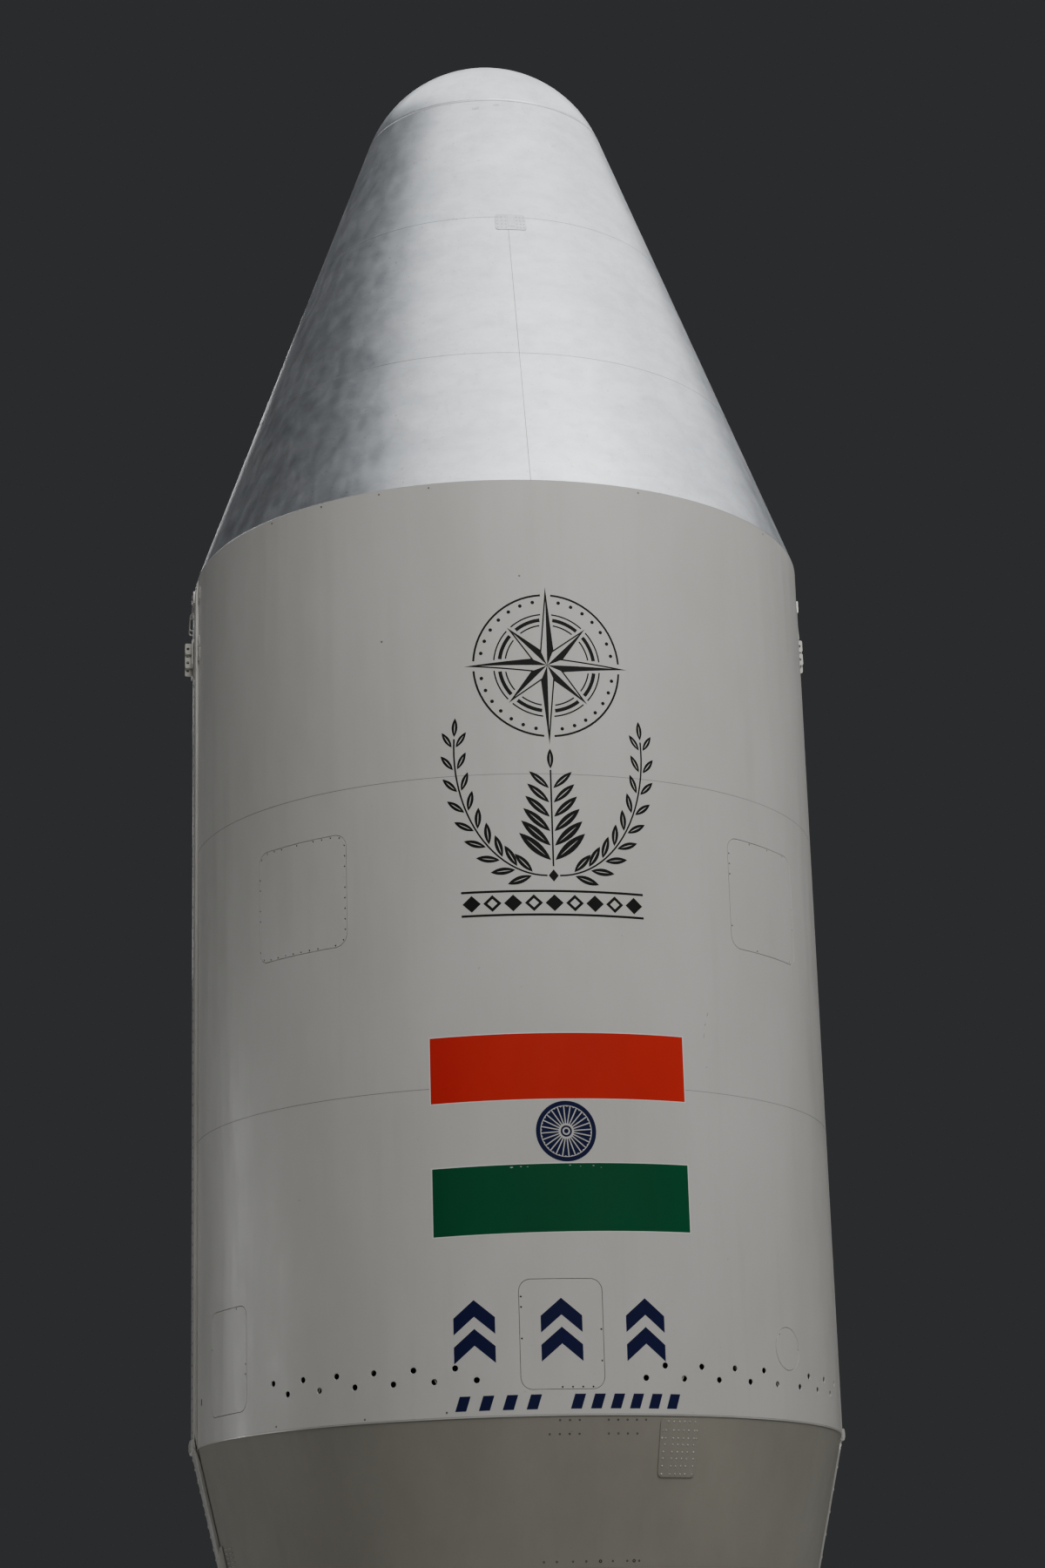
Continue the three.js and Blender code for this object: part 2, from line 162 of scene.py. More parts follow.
def makePiece(shape, name, body, finishes, stands=()):
    mesh = bpy.data.meshes.new(name)
    mesh.from_pydata(shape["points"], [], shape["faces"])
    for finish in finishes:
        mesh.materials.append(finish)
    mesh.polygons.foreach_set("material_index", shape["finishes"])
    mesh.polygons.foreach_set("use_smooth", [True] * len(mesh.polygons))
    mesh.set_sharp_from_angle(angle=math.radians(30))
    if any(shape["wallSides"]):
        normals = []
        for polygon, side in zip(mesh.polygons, shape["wallSides"]):
            for corner in polygon.vertices:
                normals.append(wallNormal(mesh.vertices[corner].co) * side if side else (0, 0, 0))
        mesh.normals_split_custom_set(normals)
    piece = bpy.data.objects.new(name, mesh)
    scene.collection.objects.link(piece)
    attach(piece, body)
    if stands:
        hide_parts(*stands)


# Turns a closed profile of (radius, height) corners, listed anticlockwise, between two azimuths
def turned(shape, half, profile, start=-edgeAzimuth, end=edgeAzimuth, step=1.25, finish=0):
    count = max(1, round((end - start) / step))
    whole = end - start == 360
    columns = count if whole else count + 1
    points = []
    for column in range(columns):
        azimuth = start + (end - start) * column / count
        points += [spot(half, azimuth, radius, height) for radius, height in profile]
    size = len(profile)
    faces = []
    for column in range(count):
        here = column * size
        after = (column + 1) % columns * size
        for row in range(size):
            above = (row + 1) % size
            faces.append((here + row, after + row, after + above, here + above))
    if not whole:
        faces.append(tuple(range(size)))
        faces.append(tuple(reversed(range(count * size, (count + 1) * size))))
    addFaces(shape, points, faces, finish)


def insideRing(ring, u, v):
    odd = False
    for (u1, v1), (u2, v2) in zip(ring, ring[1:] + ring[:1]):
        if (v1 > v) != (v2 > v) and u < u1 + (v - v1) / (v2 - v1) * (u2 - u1):
            odd = not odd
    return odd


def gridInside(ring, holes, stepU, stepV):
    lowU, highU = min(u for u, v in ring), max(u for u, v in ring)
    lowV, highV = min(v for u, v in ring), max(v for u, v in ring)
    countU, countV = round((highU - lowU) / stepU), round((highV - lowV) / stepV)
    edges = [point for loop in [ring, *holes] for point in loop]
    clear = 0.4 * min(stepU, stepV)
    grid = []
    for column in range(1, countU):
        u = lowU + (highU - lowU) * column / countU
        near = [point for point in edges if abs(point[0] - u) < clear]
        for row in range(1, countV):
            v = lowV + (highV - lowV) * row / countV
            if any(math.hypot(point[0] - u, point[1] - v) < clear for point in near):
                continue
            if insideRing(ring, u, v) and not any(insideRing(hole, u, v) for hole in holes):
                grid.append((u, v))
    return grid


# Cuts a closed sheet to an outline with holes. Outlines are functions of growth that give (u, v) points,
# place puts (u, v, depth) in space, and depth 0 is the face that shows.
def cutSheet(shape, outline, holes, place, thickness, chamfer=0.0, grid=None,
             finishes=(0, 0), wallSide=0):
    front = [outline(-chamfer)] + [hole(chamfer) for hole in holes]
    true = [outline(0)] + [hole(0) for hole in holes]
    inner = gridInside(front[0], front[1:], *grid) if grid else []
    flat = [point for ring in front for point in ring] + inner
    constraints = []
    start = 0
    for ring in front:
        size = len(ring)
        constraints += [(start + at, start + (at + 1) % size) for at in range(size)]
        start += size
    edgeCount = start
    made = delaunay_2d_cdt([Vector(point) for point in flat], constraints, [], 1, 1e-7)
    source = [ids[0] for ids in made[3]]
    triangles = []
    for triangle in made[2]:
        corners = [source[corner] for corner in triangle]
        u = sum(flat[corner][0] for corner in corners) / 3
        v = sum(flat[corner][1] for corner in corners) / 3
        if not insideRing(front[0], u, v):
            continue
        if any(insideRing(hole, u, v) for hole in front[1:]):
            continue
        triangles.append(corners)
    trueEdge = [point for ring in true for point in ring]
    shown = [place(u, v, 0) for u, v in flat]
    lower = [place(u, v, thickness) for u, v in trueEdge + inner]
    levels = [shown[:edgeCount]]
    if chamfer:
        levels.append([place(u, v, chamfer) for u, v in trueEdge])
    levels.append(lower[:edgeCount])
    addFaces(shape, shown, triangles, finishes[0], wallSide)
    addFaces(shape, lower, [corners[::-1] for corners in triangles], finishes[1], -wallSide)
    points = [point for level in levels for point in level]
    walls = []
    for level in range(len(levels) - 1):
        start = 0
        for number, ring in enumerate(front):
            for at in range(len(ring)):
                here = level * edgeCount + start + at
                after = level * edgeCount + start + (at + 1) % len(ring)
                face = (here, here + edgeCount, after + edgeCount, after)
                walls.append(face if number == 0 else face[::-1])
            start += len(ring)
    addFaces(shape, points, walls, finishes[0])


# Outlines
def stripOutline(left, right, low, high, step=ringStep):
    def outline(growth):
        count = max(1, round((right - left) / step))
        wide = [left - growth + (right - left + 2 * growth) * at / count for at in range(count + 1)]
        tall = [low + (high - low) * at / 8 for at in range(1, 8)]
        bottom = [(u, low - growth) for u in wide]
        top = [(u, high + growth) for u in reversed(wide)]
        return (bottom + [(right + growth, v) for v in tall]
                + top + [(left - growth, v) for v in reversed(tall)])
    return outline


def discOutline(u, v, diameter, count=16):
    def outline(growth):
        radius = diameter / 2 + growth
        angles = [2 * math.pi * at / count for at in range(count)]
        return [(u + radius * math.cos(angle), v + radius * math.sin(angle)) for angle in angles]
    return outline


def doorOutline(u, v, width, height, corner, extra=0.0):
    def outline(growth):
        radius = max(0.001, corner + growth + extra)
        wide, tall = width / 2 + growth + extra - radius, height / 2 + growth + extra - radius
        points = []
        for sideU, sideV, startAngle in ((1, -1, -90), (1, 1, 0), (-1, 1, 90), (-1, -1, 180)):
            for at in range(9):
                angle = math.radians(startAngle + 90 * at / 8)
                points.append((u + sideU * wide + radius * math.cos(angle),
                               v + sideV * tall + radius * math.sin(angle)))
        return divided(points)
    return outline


# Adds points along the long sides of a ring, at fixed shares so that each growth has as many
def divided(points):
    made = []
    for (u1, v1), (u2, v2) in zip(points, points[1:] + points[:1]):
        count = max(1, int(math.hypot(u2 - u1, v2 - v1) / ringStep))
        made += [(u1 + (u2 - u1) * at / count, v1 + (v2 - v1) * at / count) for at in range(count)]
    return made


# An outline that doesn't grow, from corners in either order
def fixed(corners):
    area = sum(u1 * v2 - u2 * v1 for (u1, v1), (u2, v2) in zip(corners, corners[1:] + corners[:1]))
    ring = divided(corners if area > 0 else corners[::-1])
    return lambda growth: ring


def evenlyAlong(ring, count):
    lengths = [math.dist(a, b) for a, b in zip(ring, ring[1:] + ring[:1])]
    total = sum(lengths)
    found = []
    for number in range(count):
        wanted = total * number / count
        for at, length in enumerate(lengths):
            if wanted < length or at == len(lengths) - 1:
                (u1, v1), (u2, v2) = ring[at], ring[(at + 1) % len(ring)]
                share = wanted / length
                found.append((u1 + (u2 - u1) * share, v1 + (v2 - v1) * share))
                break
            wanted -= length
    return found


# Small solids on the wall
def placeAt(half, azimuth, height, radius):
    centre = Vector(spot(half, azimuth, radius, height))
    out = wallNormal(centre)
    along = Vector((0, 0, 1)).cross(out).normalized()
    return centre, along, out.cross(along), out


# Rings of points, one beyond the other, closed at both ends
def addRings(shape, points, sides, finish):
    last = len(points) - sides
    faces = [tuple(reversed(range(sides)))]
    for ring in range(0, last, sides):
        for side in range(sides):
            here, after = ring + side, ring + (side + 1) % sides
            faces.append((here, after, after + sides, here + sides))
    faces.append(tuple(range(last, last + sides)))
    addFaces(shape, points, faces, finish)


# A turned head: rings of (radius, rise) from its rim to its middle
heads = {
    "flat": [(0.0048, 0), (0.0048, 0.0013), (0.0024, 0.0015), (0.0018, 0.0006)],
    "rivet": [(0.0042, 0), (0.0042, 0.0016), (0.003, 0.0026), (0.0008, 0.003)],
    "big": [(0.0075, 0), (0.0075, 0.0016), (0.004, 0.0018), (0.0032, 0.0008)],
    "rail": [(0.0062, 0), (0.0062, 0.0022), (0.004, 0.0026), (0.003, 0.001)],
    "round": [(0.0075, 0), (0.0075, 0.0025), (0.0055, 0.0042), (0.001, 0.005)],
    "plate": [(0.005, 0), (0.005, 0.002), (0.003, 0.003)],
}


def addHead(shape, seat, rings, sides=10, finish=0):
    centre, along, up, out = seat
    points = []
    for radius, rise in rings:
        for side in range(sides):
            angle = 2 * math.pi * side / sides
            points.append(centre + (along * math.cos(angle) + up * math.sin(angle)) * radius + out * rise)
    addRings(shape, points, sides, finish)


# A tube along points, for handles
def addTube(shape, points, radius, sides, finish):
    points = [Vector(point) for point in points]
    rings = []
    aside = None
    for at, point in enumerate(points):
        ahead = points[min(at + 1, len(points) - 1)] - points[max(at - 1, 0)]
        ahead.normalize()
        aside = aside or ahead.orthogonal().normalized()
        aside = (aside - ahead * aside.dot(ahead)).normalized()
        other = ahead.cross(aside)
        for side in range(sides):
            angle = 2 * math.pi * side / sides
            rings.append(point + (aside * math.cos(angle) + other * math.sin(angle)) * radius)
    addRings(shape, rings, sides, finish)


def addBar(shape, half, start, end, width, inner, outer, finish):
    middle = (Vector(spot(half, *start)) + Vector(spot(half, *end))) / 2
    direction = (Vector(spot(half, *end)) - Vector(spot(half, *start))).normalized()
    side = direction.cross(wallNormal(middle)).normalized() * width / 2
    points = []
    for azimuth, radius, height in (start, end):
        for depth in (outer, inner):
            centre = Vector(spot(half, azimuth, radius - depth, height))
            points += [centre - side, centre + side]
    faces = [(0, 1, 3, 2), (4, 6, 7, 5), (0, 4, 5, 1), (2, 3, 7, 6), (0, 2, 6, 4), (1, 5, 7, 3)]
    addFaces(shape, points, [face[::-1] for face in faces], finish)


# The wall: a thin skin, a flange turned in at each end, ribs between, sealant in the joints
shell = {
    "skin": 0.005, "flange": 0.07, "flangeThick": 0.01, "flangeTurn": 2.5, "seam": 0.0002, "chamfer": 0.0009,
    "stepTurn": 1.25, "rowHeight": 0.12, "sealTall": 0.0015, "sealLift": 0.0002, "sealRoot": 0.001,
}

# Triangular grid of ribs behind a wall, left open where keepOut says so
ribs = {"width": 0.006, "depth": 0.022, "rowHeight": 0.25, "turn": 9.0, "parts": 2}


def addRibs(shape, half, low, high, start, end, keepOut=None):
    rows = max(1, round((high - low) / ribs["rowHeight"]))
    columns = max(1, round((end - start) / ribs["turn"]))
    turn = (end - start) / columns
    rise = (high - low) / rows
    skin = shell["skin"] - overlap
    parts = ribs["parts"]

    def node(column, row):
        azimuth = start + turn * (column + (row % 2) / 2)
        return min(azimuth, end), low + rise * row

    edges = []
    for row in range(rows + 1):
        for column in range(columns + 1):
            if column < columns and 0 < row < rows:
                edges.append((node(column, row), node(column + 1, row)))
            if row < rows:
                side = 1 if row % 2 else -1
                edges.append((node(column, row), node(column, row + 1)))
                if 0 <= column + side <= columns:
                    edges.append((node(column, row), node(column + side, row + 1)))
    for (azimuth1, height1), (azimuth2, height2) in edges:
        if azimuth1 == azimuth2 and height1 == height2:
            continue
        for part in range(parts):
            ends = []
            for share in (part / parts, (part + 1) / parts):
                azimuth = azimuth1 + (azimuth2 - azimuth1) * share
                height = height1 + (height2 - height1) * share
                ends.append((azimuth, height))
            if keepOut and any(keepOut(*point) for point in ends):
                continue
            (a1, h1), (a2, h2) = ends
            addBar(shape, half, (a1, wallRadius(h1), h1), (a2, wallRadius(h2), h2),
                   ribs["width"], ribs["depth"], skin, 1)


# Finishes. Colours are linear.
def newFinish(name):
    finish = bpy.data.materials.new(name)
    finish.use_nodes = True
    return finish, finish.node_tree, finish.node_tree.nodes["Principled BSDF"]


def addNode(tree, kind, inputs=None, **settings):
    node = tree.nodes.new(kind)
    for key, value in settings.items():
        setattr(node, key, value)
    for key, value in (inputs or {}).items():
        if isinstance(value, bpy.types.NodeSocket):
            tree.links.new(value, node.inputs[key])
        else:
            node.inputs[key].default_value = value
    return node


# Noise in the piece's own space, stretched by scale along each axis
def addNoise(tree, scale, detail=4.0, roughness=0.5, size=1.0, distortion=0.0):
    space = addNode(tree, "ShaderNodeTexCoord")
    stretch = addNode(tree, "ShaderNodeMapping", {"Vector": space.outputs["Object"], "Scale": scale})
    noise = addNode(tree, "ShaderNodeTexNoise", {
        "Vector": stretch.outputs[0], "Scale": size, "Detail": detail,
        "Roughness": roughness, "Distortion": distortion,
    })
    return noise.outputs["Fac"]


def addRamp(tree, source, low, high, lowValue=0.0, highValue=1.0):
    ramp = addNode(tree, "ShaderNodeMapRange", {
        0: source, 1: low, 2: high, 3: lowValue, 4: highValue,
    })
    return ramp.outputs[0]


def addMix(tree, share, first, second):
    mix = addNode(tree, "ShaderNodeMix", data_type="RGBA")
    for socket, value in ((0, share), (6, first), (7, second)):
        if isinstance(value, bpy.types.NodeSocket):
            tree.links.new(value, mix.inputs[socket])
        else:
            mix.inputs[socket].default_value = value
    return mix.outputs[2]


def addBump(tree, height, strength, distance, normal=None):
    inputs = {"Height": height, "Strength": strength, "Distance": distance}
    if normal:
        inputs["Normal"] = normal
    return addNode(tree, "ShaderNodeBump", inputs).outputs[0]


def paintFinish(name, look):
    finish, tree, shader = newFinish(name)
    cloud = addNoise(tree, (1, 1, look["cloudTall"]), 5, 0.6, look["cloudSize"])
    colour = addMix(tree, addRamp(tree, cloud, 0.35, 0.65), look["colour"], look["shade"])
    if "mottle" in look:
        blotch = addNoise(tree, (1, 1, look["mottleTall"]), 8, 0.72, look["mottleSize"], 0.3)
        colour = addMix(tree, addRamp(tree, blotch, 0.42, 0.68, 0, look["mottle"]), colour, look["dirt"])
    streak = addNoise(tree, (1, 1, 0.06), 6, 0.65, look["streakSize"])
    streaks = addRamp(tree, streak, 0.56, 0.8, 0, look["streaks"])
    colour = addMix(tree, streaks, colour, look["dirt"])
    speck = addNoise(tree, (1, 1, 1), 2, 0.5, look["speckSize"])
    specks = addRamp(tree, speck, look["speckFrom"], look["speckFrom"] + 0.05, 0, look["specks"])
    colour = addMix(tree, specks, colour, look["dirt"])
    tree.links.new(colour, shader.inputs["Base Color"])
    grain = addNoise(tree, (1, 1, 0.5), 4, 0.6, look["grainSize"])
    gloss = addRamp(tree, grain, 0.3, 0.7, look["gloss"][0], look["gloss"][1])
    tree.links.new(gloss, shader.inputs["Roughness"])
    wave = addNoise(tree, (1, 1, 0.12), 2, 0.4, look["waveSize"])
    normal = addBump(tree, wave, look["wave"], 0.01)
    orange = addNoise(tree, (1, 1, 1), 2, 0.5, 90.0)
    normal = addBump(tree, orange, look["peel"], 0.001, normal)
    tree.links.new(normal, shader.inputs["Normal"])
    shader.inputs["Metallic"].default_value = look["metallic"]
    shader.inputs["Specular IOR Level"].default_value = look.get("shine", 0.4)
    return finish


whiteLook = {
    "colour": (0.56, 0.55, 0.527, 1), "shade": (0.51, 0.5, 0.473, 1), "dirt": (0.28, 0.27, 0.24, 1),
    "cloudSize": 1.2, "cloudTall": 0.5, "streakSize": 6.0, "streaks": 0.16, "speckSize": 60.0,
    "speckFrom": 0.74, "specks": 0.35, "grainSize": 8.0, "gloss": (0.29, 0.41), "waveSize": 8.0,
    "wave": 0.42, "peel": 0.1, "metallic": 0.0,
}
silverLook = {
    "colour": (0.94, 0.965, 0.995, 1), "shade": (0.82, 0.852, 0.895, 1), "dirt": (0.4, 0.415, 0.44, 1),
    "cloudSize": 1.5, "cloudTall": 3.0, "mottleSize": 7.0, "mottleTall": 1.6, "mottle": 0.3,
    "streakSize": 14.0, "streaks": 0.22, "speckSize": 70.0, "speckFrom": 0.68, "specks": 0.5,
    "grainSize": 12.0, "gloss": (0.33, 0.43), "waveSize": 4.0, "wave": 0.1, "peel": 0.16, "metallic": 0.96,
}
# Tail: its own grey-beige satin paint, made darker as painted shade because the tail faces down, away from
# the light
shadedTailLook = {
    "colour": (0.305, 0.288, 0.247, 1), "shade": (0.262, 0.247, 0.211, 1), "dirt": (0.15, 0.14, 0.12, 1),
    "cloudSize": 1.6, "cloudTall": 0.6, "streakSize": 7.0, "streaks": 0.14, "speckSize": 60.0,
    "speckFrom": 0.72, "specks": 0.3, "grainSize": 8.0, "gloss": (0.4, 0.52), "waveSize": 5.0,
    "wave": 0.08, "peel": 0.1, "metallic": 0.0,
}
coverLook = dict(silverLook, colour=(0.8, 0.81, 0.83, 1), shade=(0.62, 0.63, 0.65, 1), mottle=0.4,
                 mottleSize=25.0, gloss=(0.38, 0.5))
stainedSilverLook = dict(coverLook, colour=(0.5, 0.51, 0.53, 1), shade=(0.74, 0.75, 0.77, 1),
                         cloudSize=40.0)
railLook = dict(whiteLook, colour=(0.6, 0.59, 0.56, 1), shade=(0.5, 0.49, 0.46, 1), streaks=0.3,
                metallic=0.3)
lugLook = dict(whiteLook, colour=(0.62, 0.61, 0.56, 1), shade=(0.54, 0.53, 0.48, 1), streaks=0.3)
sealLook = dict(whiteLook, colour=(0.3, 0.3, 0.295, 1), shade=(0.2, 0.2, 0.195, 1), gloss=(0.5, 0.6))
gasketLook = dict(sealLook, colour=(0.03, 0.03, 0.029, 1), shade=(0.045, 0.045, 0.043, 1))
stainLook = dict(whiteLook, colour=(0.22, 0.22, 0.2, 1), shade=(0.42, 0.41, 0.385, 1), cloudSize=60.0,
                 cloudTall=1.0)
skirtLook = dict(shadedTailLook, colour=(0.34, 0.35, 0.34, 1), shade=(0.29, 0.3, 0.295, 1))
primerLook = dict(shadedTailLook, colour=(0.36, 0.37, 0.3, 1), shade=(0.3, 0.31, 0.25, 1), gloss=(0.5, 0.65))
deckLook = dict(shadedTailLook, colour=(0.42, 0.4, 0.33, 1), shade=(0.36, 0.34, 0.28, 1), gloss=(0.45, 0.6))
filmLook = dict(whiteLook, streaks=0.1, specks=0.2, cloudSize=2.0, gloss=(0.45, 0.58), shine=0.12)
whiteFilmLook = dict(filmLook, colour=(0.72, 0.71, 0.68, 1), shade=(0.66, 0.65, 0.62, 1))
redLook = dict(filmLook, colour=(0.56, 0.021, 0.017, 1), shade=(0.5, 0.017, 0.014, 1),
               dirt=(0.36, 0.035, 0.025, 1))
greenLook = dict(filmLook, colour=(0.0015, 0.082, 0.033, 1), shade=(0.0015, 0.069, 0.027, 1),
                 dirt=(0.01, 0.085, 0.04, 1))
navyLook = dict(filmLook, colour=(0.008, 0.011, 0.056, 1), shade=(0.007, 0.009, 0.045, 1),
                dirt=(0.02, 0.022, 0.07, 1))
blackLook = dict(filmLook, colour=(0.007, 0.007, 0.007, 1), shade=(0.01, 0.01, 0.0095, 1),
                 dirt=(0.03, 0.03, 0.028, 1))


def metalFinish(name, look):
    finish, tree, shader = newFinish(name)
    tone = addNoise(tree, (1, 1, 1), 3, 0.6, 30.0)
    colour = addMix(tree, addRamp(tree, tone, 0.3, 0.7), look["colour"], look["shade"])
    tree.links.new(colour, shader.inputs["Base Color"])
    tree.links.new(addRamp(tree, tone, 0.3, 0.7, *look["gloss"]), shader.inputs["Roughness"])
    tree.links.new(addBump(tree, tone, 0.15, 0.0005), shader.inputs["Normal"])
    shader.inputs["Metallic"].default_value = look["metallic"]
    return finish


alloyLook = {
    "colour": (0.58, 0.57, 0.54, 1), "shade": (0.42, 0.41, 0.39, 1), "gloss": (0.35, 0.5), "metallic": 0.7,
}
# Near-black metal for screws. In the open door holes and on the slot patch it is also painted shade, darker
# than the recesses alone make them
nearBlackAndShadeLook = {
    "colour": (0.03, 0.03, 0.03, 1), "shade": (0.06, 0.055, 0.05, 1), "gloss": (0.4, 0.6), "metallic": 0.5,
}

white = paintFinish("white_paint", whiteLook)
silver = paintFinish("silver_paint", silverLook)
coverSilver = paintFinish("cover_silver", coverLook)
# tail colour, partly painted shade
shadedTailPaint = paintFinish("tail_paint", shadedTailLook)
railPaint = paintFinish("rail_paint", railLook)
lugPaint = paintFinish("lug_paint", lugLook)
skirtPaint = paintFinish("skirt_paint", skirtLook)
primer = paintFinish("inner_primer", primerLook)
deckPaint = paintFinish("deck_panel", deckLook)
whiteFilm = paintFinish("white_film", whiteFilmLook)
sealant = paintFinish("joint_sealant", sealLook)
gasketRubber = paintFinish("gasket_rubber", gasketLook)
stainPaint = paintFinish("stained_paint", stainLook)
stainedSilver = paintFinish("stained_silver", stainedSilverLook)
redFilm = paintFinish("red_film", redLook)
greenFilm = paintFinish("green_film", greenLook)
navyFilm = paintFinish("navy_film", navyLook)
blackFilm = paintFinish("black_film", blackLook)
alloy = metalFinish("bare_alloy", alloyLook)
nearBlackMetalAndShade = metalFinish("black_screws_and_shade", nearBlackAndShadeLook)
print("finishes made")


def addFlanges(shape, half, low, high, start, end):
    for bottom in (low + shell["seam"], high - shell["seam"] - shell["flangeThick"]):
        top = bottom + shell["flangeThick"]
        outer = shell["skin"] - overlap
        turned(shape, half, [
            (wallRadius(bottom) - shell["flange"], bottom),
            (wallRadius(bottom) - outer, bottom),
            (wallRadius(top) - outer, top),
            (wallRadius(top) - shell["flange"], top),
        ], start, end, shell["flangeTurn"], 1)


def addWall(shape, half, low, high, start, end, lift=0.0):
    reference = wallRadius((low + high) / 2)
    left, right = (math.radians(azimuth) * reference for azimuth in (start, end))
    step = reference * 0.0218   # about 1.25 degrees
    outline = stripOutline(left + shell["seam"], right - shell["seam"],
                           low + shell["seam"], high - shell["seam"], step)
    cutSheet(shape, outline, [], onWall(half, lift, reference), shell["skin"], shell["chamfer"],
             (step, shell["rowHeight"]), (0, 1), 1)


# Sealant between two heights
def addSeal(shape, half, low, high, start, end, step, finish):
    turned(shape, half, [
        (wallRadius(low) - shell["sealRoot"], low), (wallRadius(low) + shell["sealLift"], low),
        (wallRadius(high) + shell["sealLift"], high), (wallRadius(high) - shell["sealRoot"], high),
    ], start, end, step, finish)


def sealRing(shape, half, height, start, end, finish):
    addSeal(shape, half, height - shell["sealTall"], height + shell["sealTall"], start, end,
            shell["stepTurn"], finish)


# The tail's skin stands back from the wall, under a bead at its top
tail = {"inset": 0.0025, "bead": 0.0065, "beadInset": 0.0004}


# One ring or panel of the cone or the tail. seamed puts sealant along its right edge.
def makeSection(half, node, low, high, finish, start=-edgeAzimuth, end=edgeAzimuth,
                seamed=False, lift=0.0, bead=0.0):
    shape = newShape()
    addWall(shape, half, low, high - bead, start, end, lift)
    if low > shoulder:
        sealRing(shape, half, low, start, end, 3)
    if seamed:
        turn = math.degrees(shell["sealTall"] / wallRadius((low + high) / 2))
        addSeal(shape, half, low, high, end - turn, end + turn, 2 * turn, 3)
    if bead:
        foot, top = high - bead + shell["seam"], high - shell["seam"]
        inner, outer = wallRadius(foot) - shell["skin"], wallRadius(top) - tail["beadInset"]
        corners = [(inner, foot), (outer, foot), (outer, top), (inner, top)]
        turned(shape, half, corners, start, end, finish=2)
    addFlanges(shape, half, low, high, start, end)
    addRibs(shape, half, low + shell["flangeThick"], high - shell["flangeThick"], start, end)
    name = f"{half}_{node}"
    finishes = [finish, primer, railPaint, sealant]
    makePiece(shape, name + "_shell", f"{half}_half", finishes, [name])


# Doors: where each middle is, in degrees and above the foot of the cylinder
doorKinds = {
    "upper": {"centre": 2.504, "width": 0.567, "height": 0.552, "corner": 0.065, "screws": 40},
    "lower": {"centre": 0.359, "width": 0.384, "height": 0.495, "corner": 0.055, "screws": 34},
    "hatch": {"centre": 0.331, "width": 0.200, "height": 0.200, "corner": 0.1, "screws": 8},
}
doors = [
    {"half": "front", "name": "upper_left_door", "kind": "upper", "azimuth": -45.6, "bare": 0.8},
    {"half": "front", "name": "upper_right_door", "kind": "upper", "azimuth": 45.6, "bare": 0.25},
    {"half": "front", "name": "lower_centre_door", "kind": "lower", "azimuth": 0, "bare": 0.4},
    {"half": "front", "name": "lower_left_door", "kind": "lower", "azimuth": -66.8, "bare": 0.15},
    {"half": "front", "name": "round_hatch", "kind": "hatch", "azimuth": 45.6, "bare": 0.4},
    {"half": "back", "name": "upper_left_door", "kind": "upper", "azimuth": -45.6, "bare": 0.7},
    {"half": "back", "name": "upper_right_door", "kind": "upper", "azimuth": 45.6, "bare": 0.5},
    {"half": "back", "name": "lower_centre_door", "kind": "lower", "azimuth": 0, "bare": 0.5},
]
doorMake = {
    "gap": 0.0024, "lip": 0.024, "frame": 0.03, "plate": 0.0112, "wall": 0.024, "chamfer": 0.0006,
    "grid": (0.035, 0.1), "plugRim": 0.03, "hatchRim": 0.015, "lipGap": 0.0008, "lipOverlap": 0.0015,
    "screwInset": 0.0095, "screwHole": 0.0088, "screwSink": (0.002, 0.005), "screwRise": 0.0003,
    "bareHead": ((0.0043, 0), (0.002, 0), (0.0015, -0.002)),
    "paintedHead": ((0.0045, 0), (0.0036, 0.0002), (0.0016, -0.0004)),
}


# The door's outline, grown by extra
def doorRing(door, extra):
    kind = doorKinds[door["kind"]]
    u, v = math.radians(door["azimuth"]) * bodyRadius, cylinderBase + kind["centre"]
    if kind["corner"] * 2 == kind["width"]:
        return discOutline(u, v, kind["width"] + 2 * extra, 48)
    return doorOutline(u, v, kind["width"], kind["height"], kind["corner"], extra)


def makeDoor(door):
    half, kind = door["half"], doorKinds[door["kind"]]
    shape = newShape()
    place = onWall(half)
    plate = doorRing(door, -doorMake["gap"] / 2)
    screws = evenlyAlong(doorRing(door, -doorMake["screwInset"])(0), kind["screws"])
    bare = [screw for screw in screws if random.random() < door["bare"]]
    holes = [discOutline(u, v, doorMake["screwHole"], 10) for u, v in bare]
    cutSheet(shape, plate, holes, place, doorMake["plate"], doorMake["chamfer"], doorMake["grid"], (0, 1), 1)
    for u, v in screws:
        seat = placeAt(half, math.degrees(u / bodyRadius), v, bodyRadius - doorMake["plate"] - headRoot)
        # A bare screw sits deep in an open hole with a near-black head, so its dark dot is partly painted
        # shade
        if (u, v) in bare:
            head, finish = doorMake["bareHead"], 2
            top = doorMake["plate"] + headRoot - random.uniform(*doorMake["screwSink"])
        else:
            head, finish = doorMake["paintedHead"], 0
            top = doorMake["plate"] + headRoot + doorMake["screwRise"]
        rings = [(head[0][0], 0)] + [(radius, top + rise) for radius, rise in head]
        addHead(shape, seat, rings, finish=finish)
    plugEdge = -doorMake["gap"] / 2 - doorMake["lip"]
    rim = doorMake["hatchRim" if door["kind"] == "hatch" else "plugRim"]
    cutSheet(shape, doorRing(door, plugEdge), [doorRing(door, plugEdge - rim)],
             onWall(half, overlap - doorMake["plate"]), doorMake["wall"] - doorMake["plate"],
             finishes=(1, 1))
    name = f"{half}_{door['name']}"
    makePiece(shape, name + "_panel", name, [white, primer, nearBlackMetalAndShade], [name])


# Vent holes near the foot of the cylinder, in two staggered rows, with a wider step under the round hatch
vents = {
    "diameter": 0.028, "step": 7.0, "hatchStep": 45.5,
    "rows": [(0.161, ((-49, -14), (14, 63))), (0.2175, ((-52.5, -17.5), (17.5, 66.5)))],
}


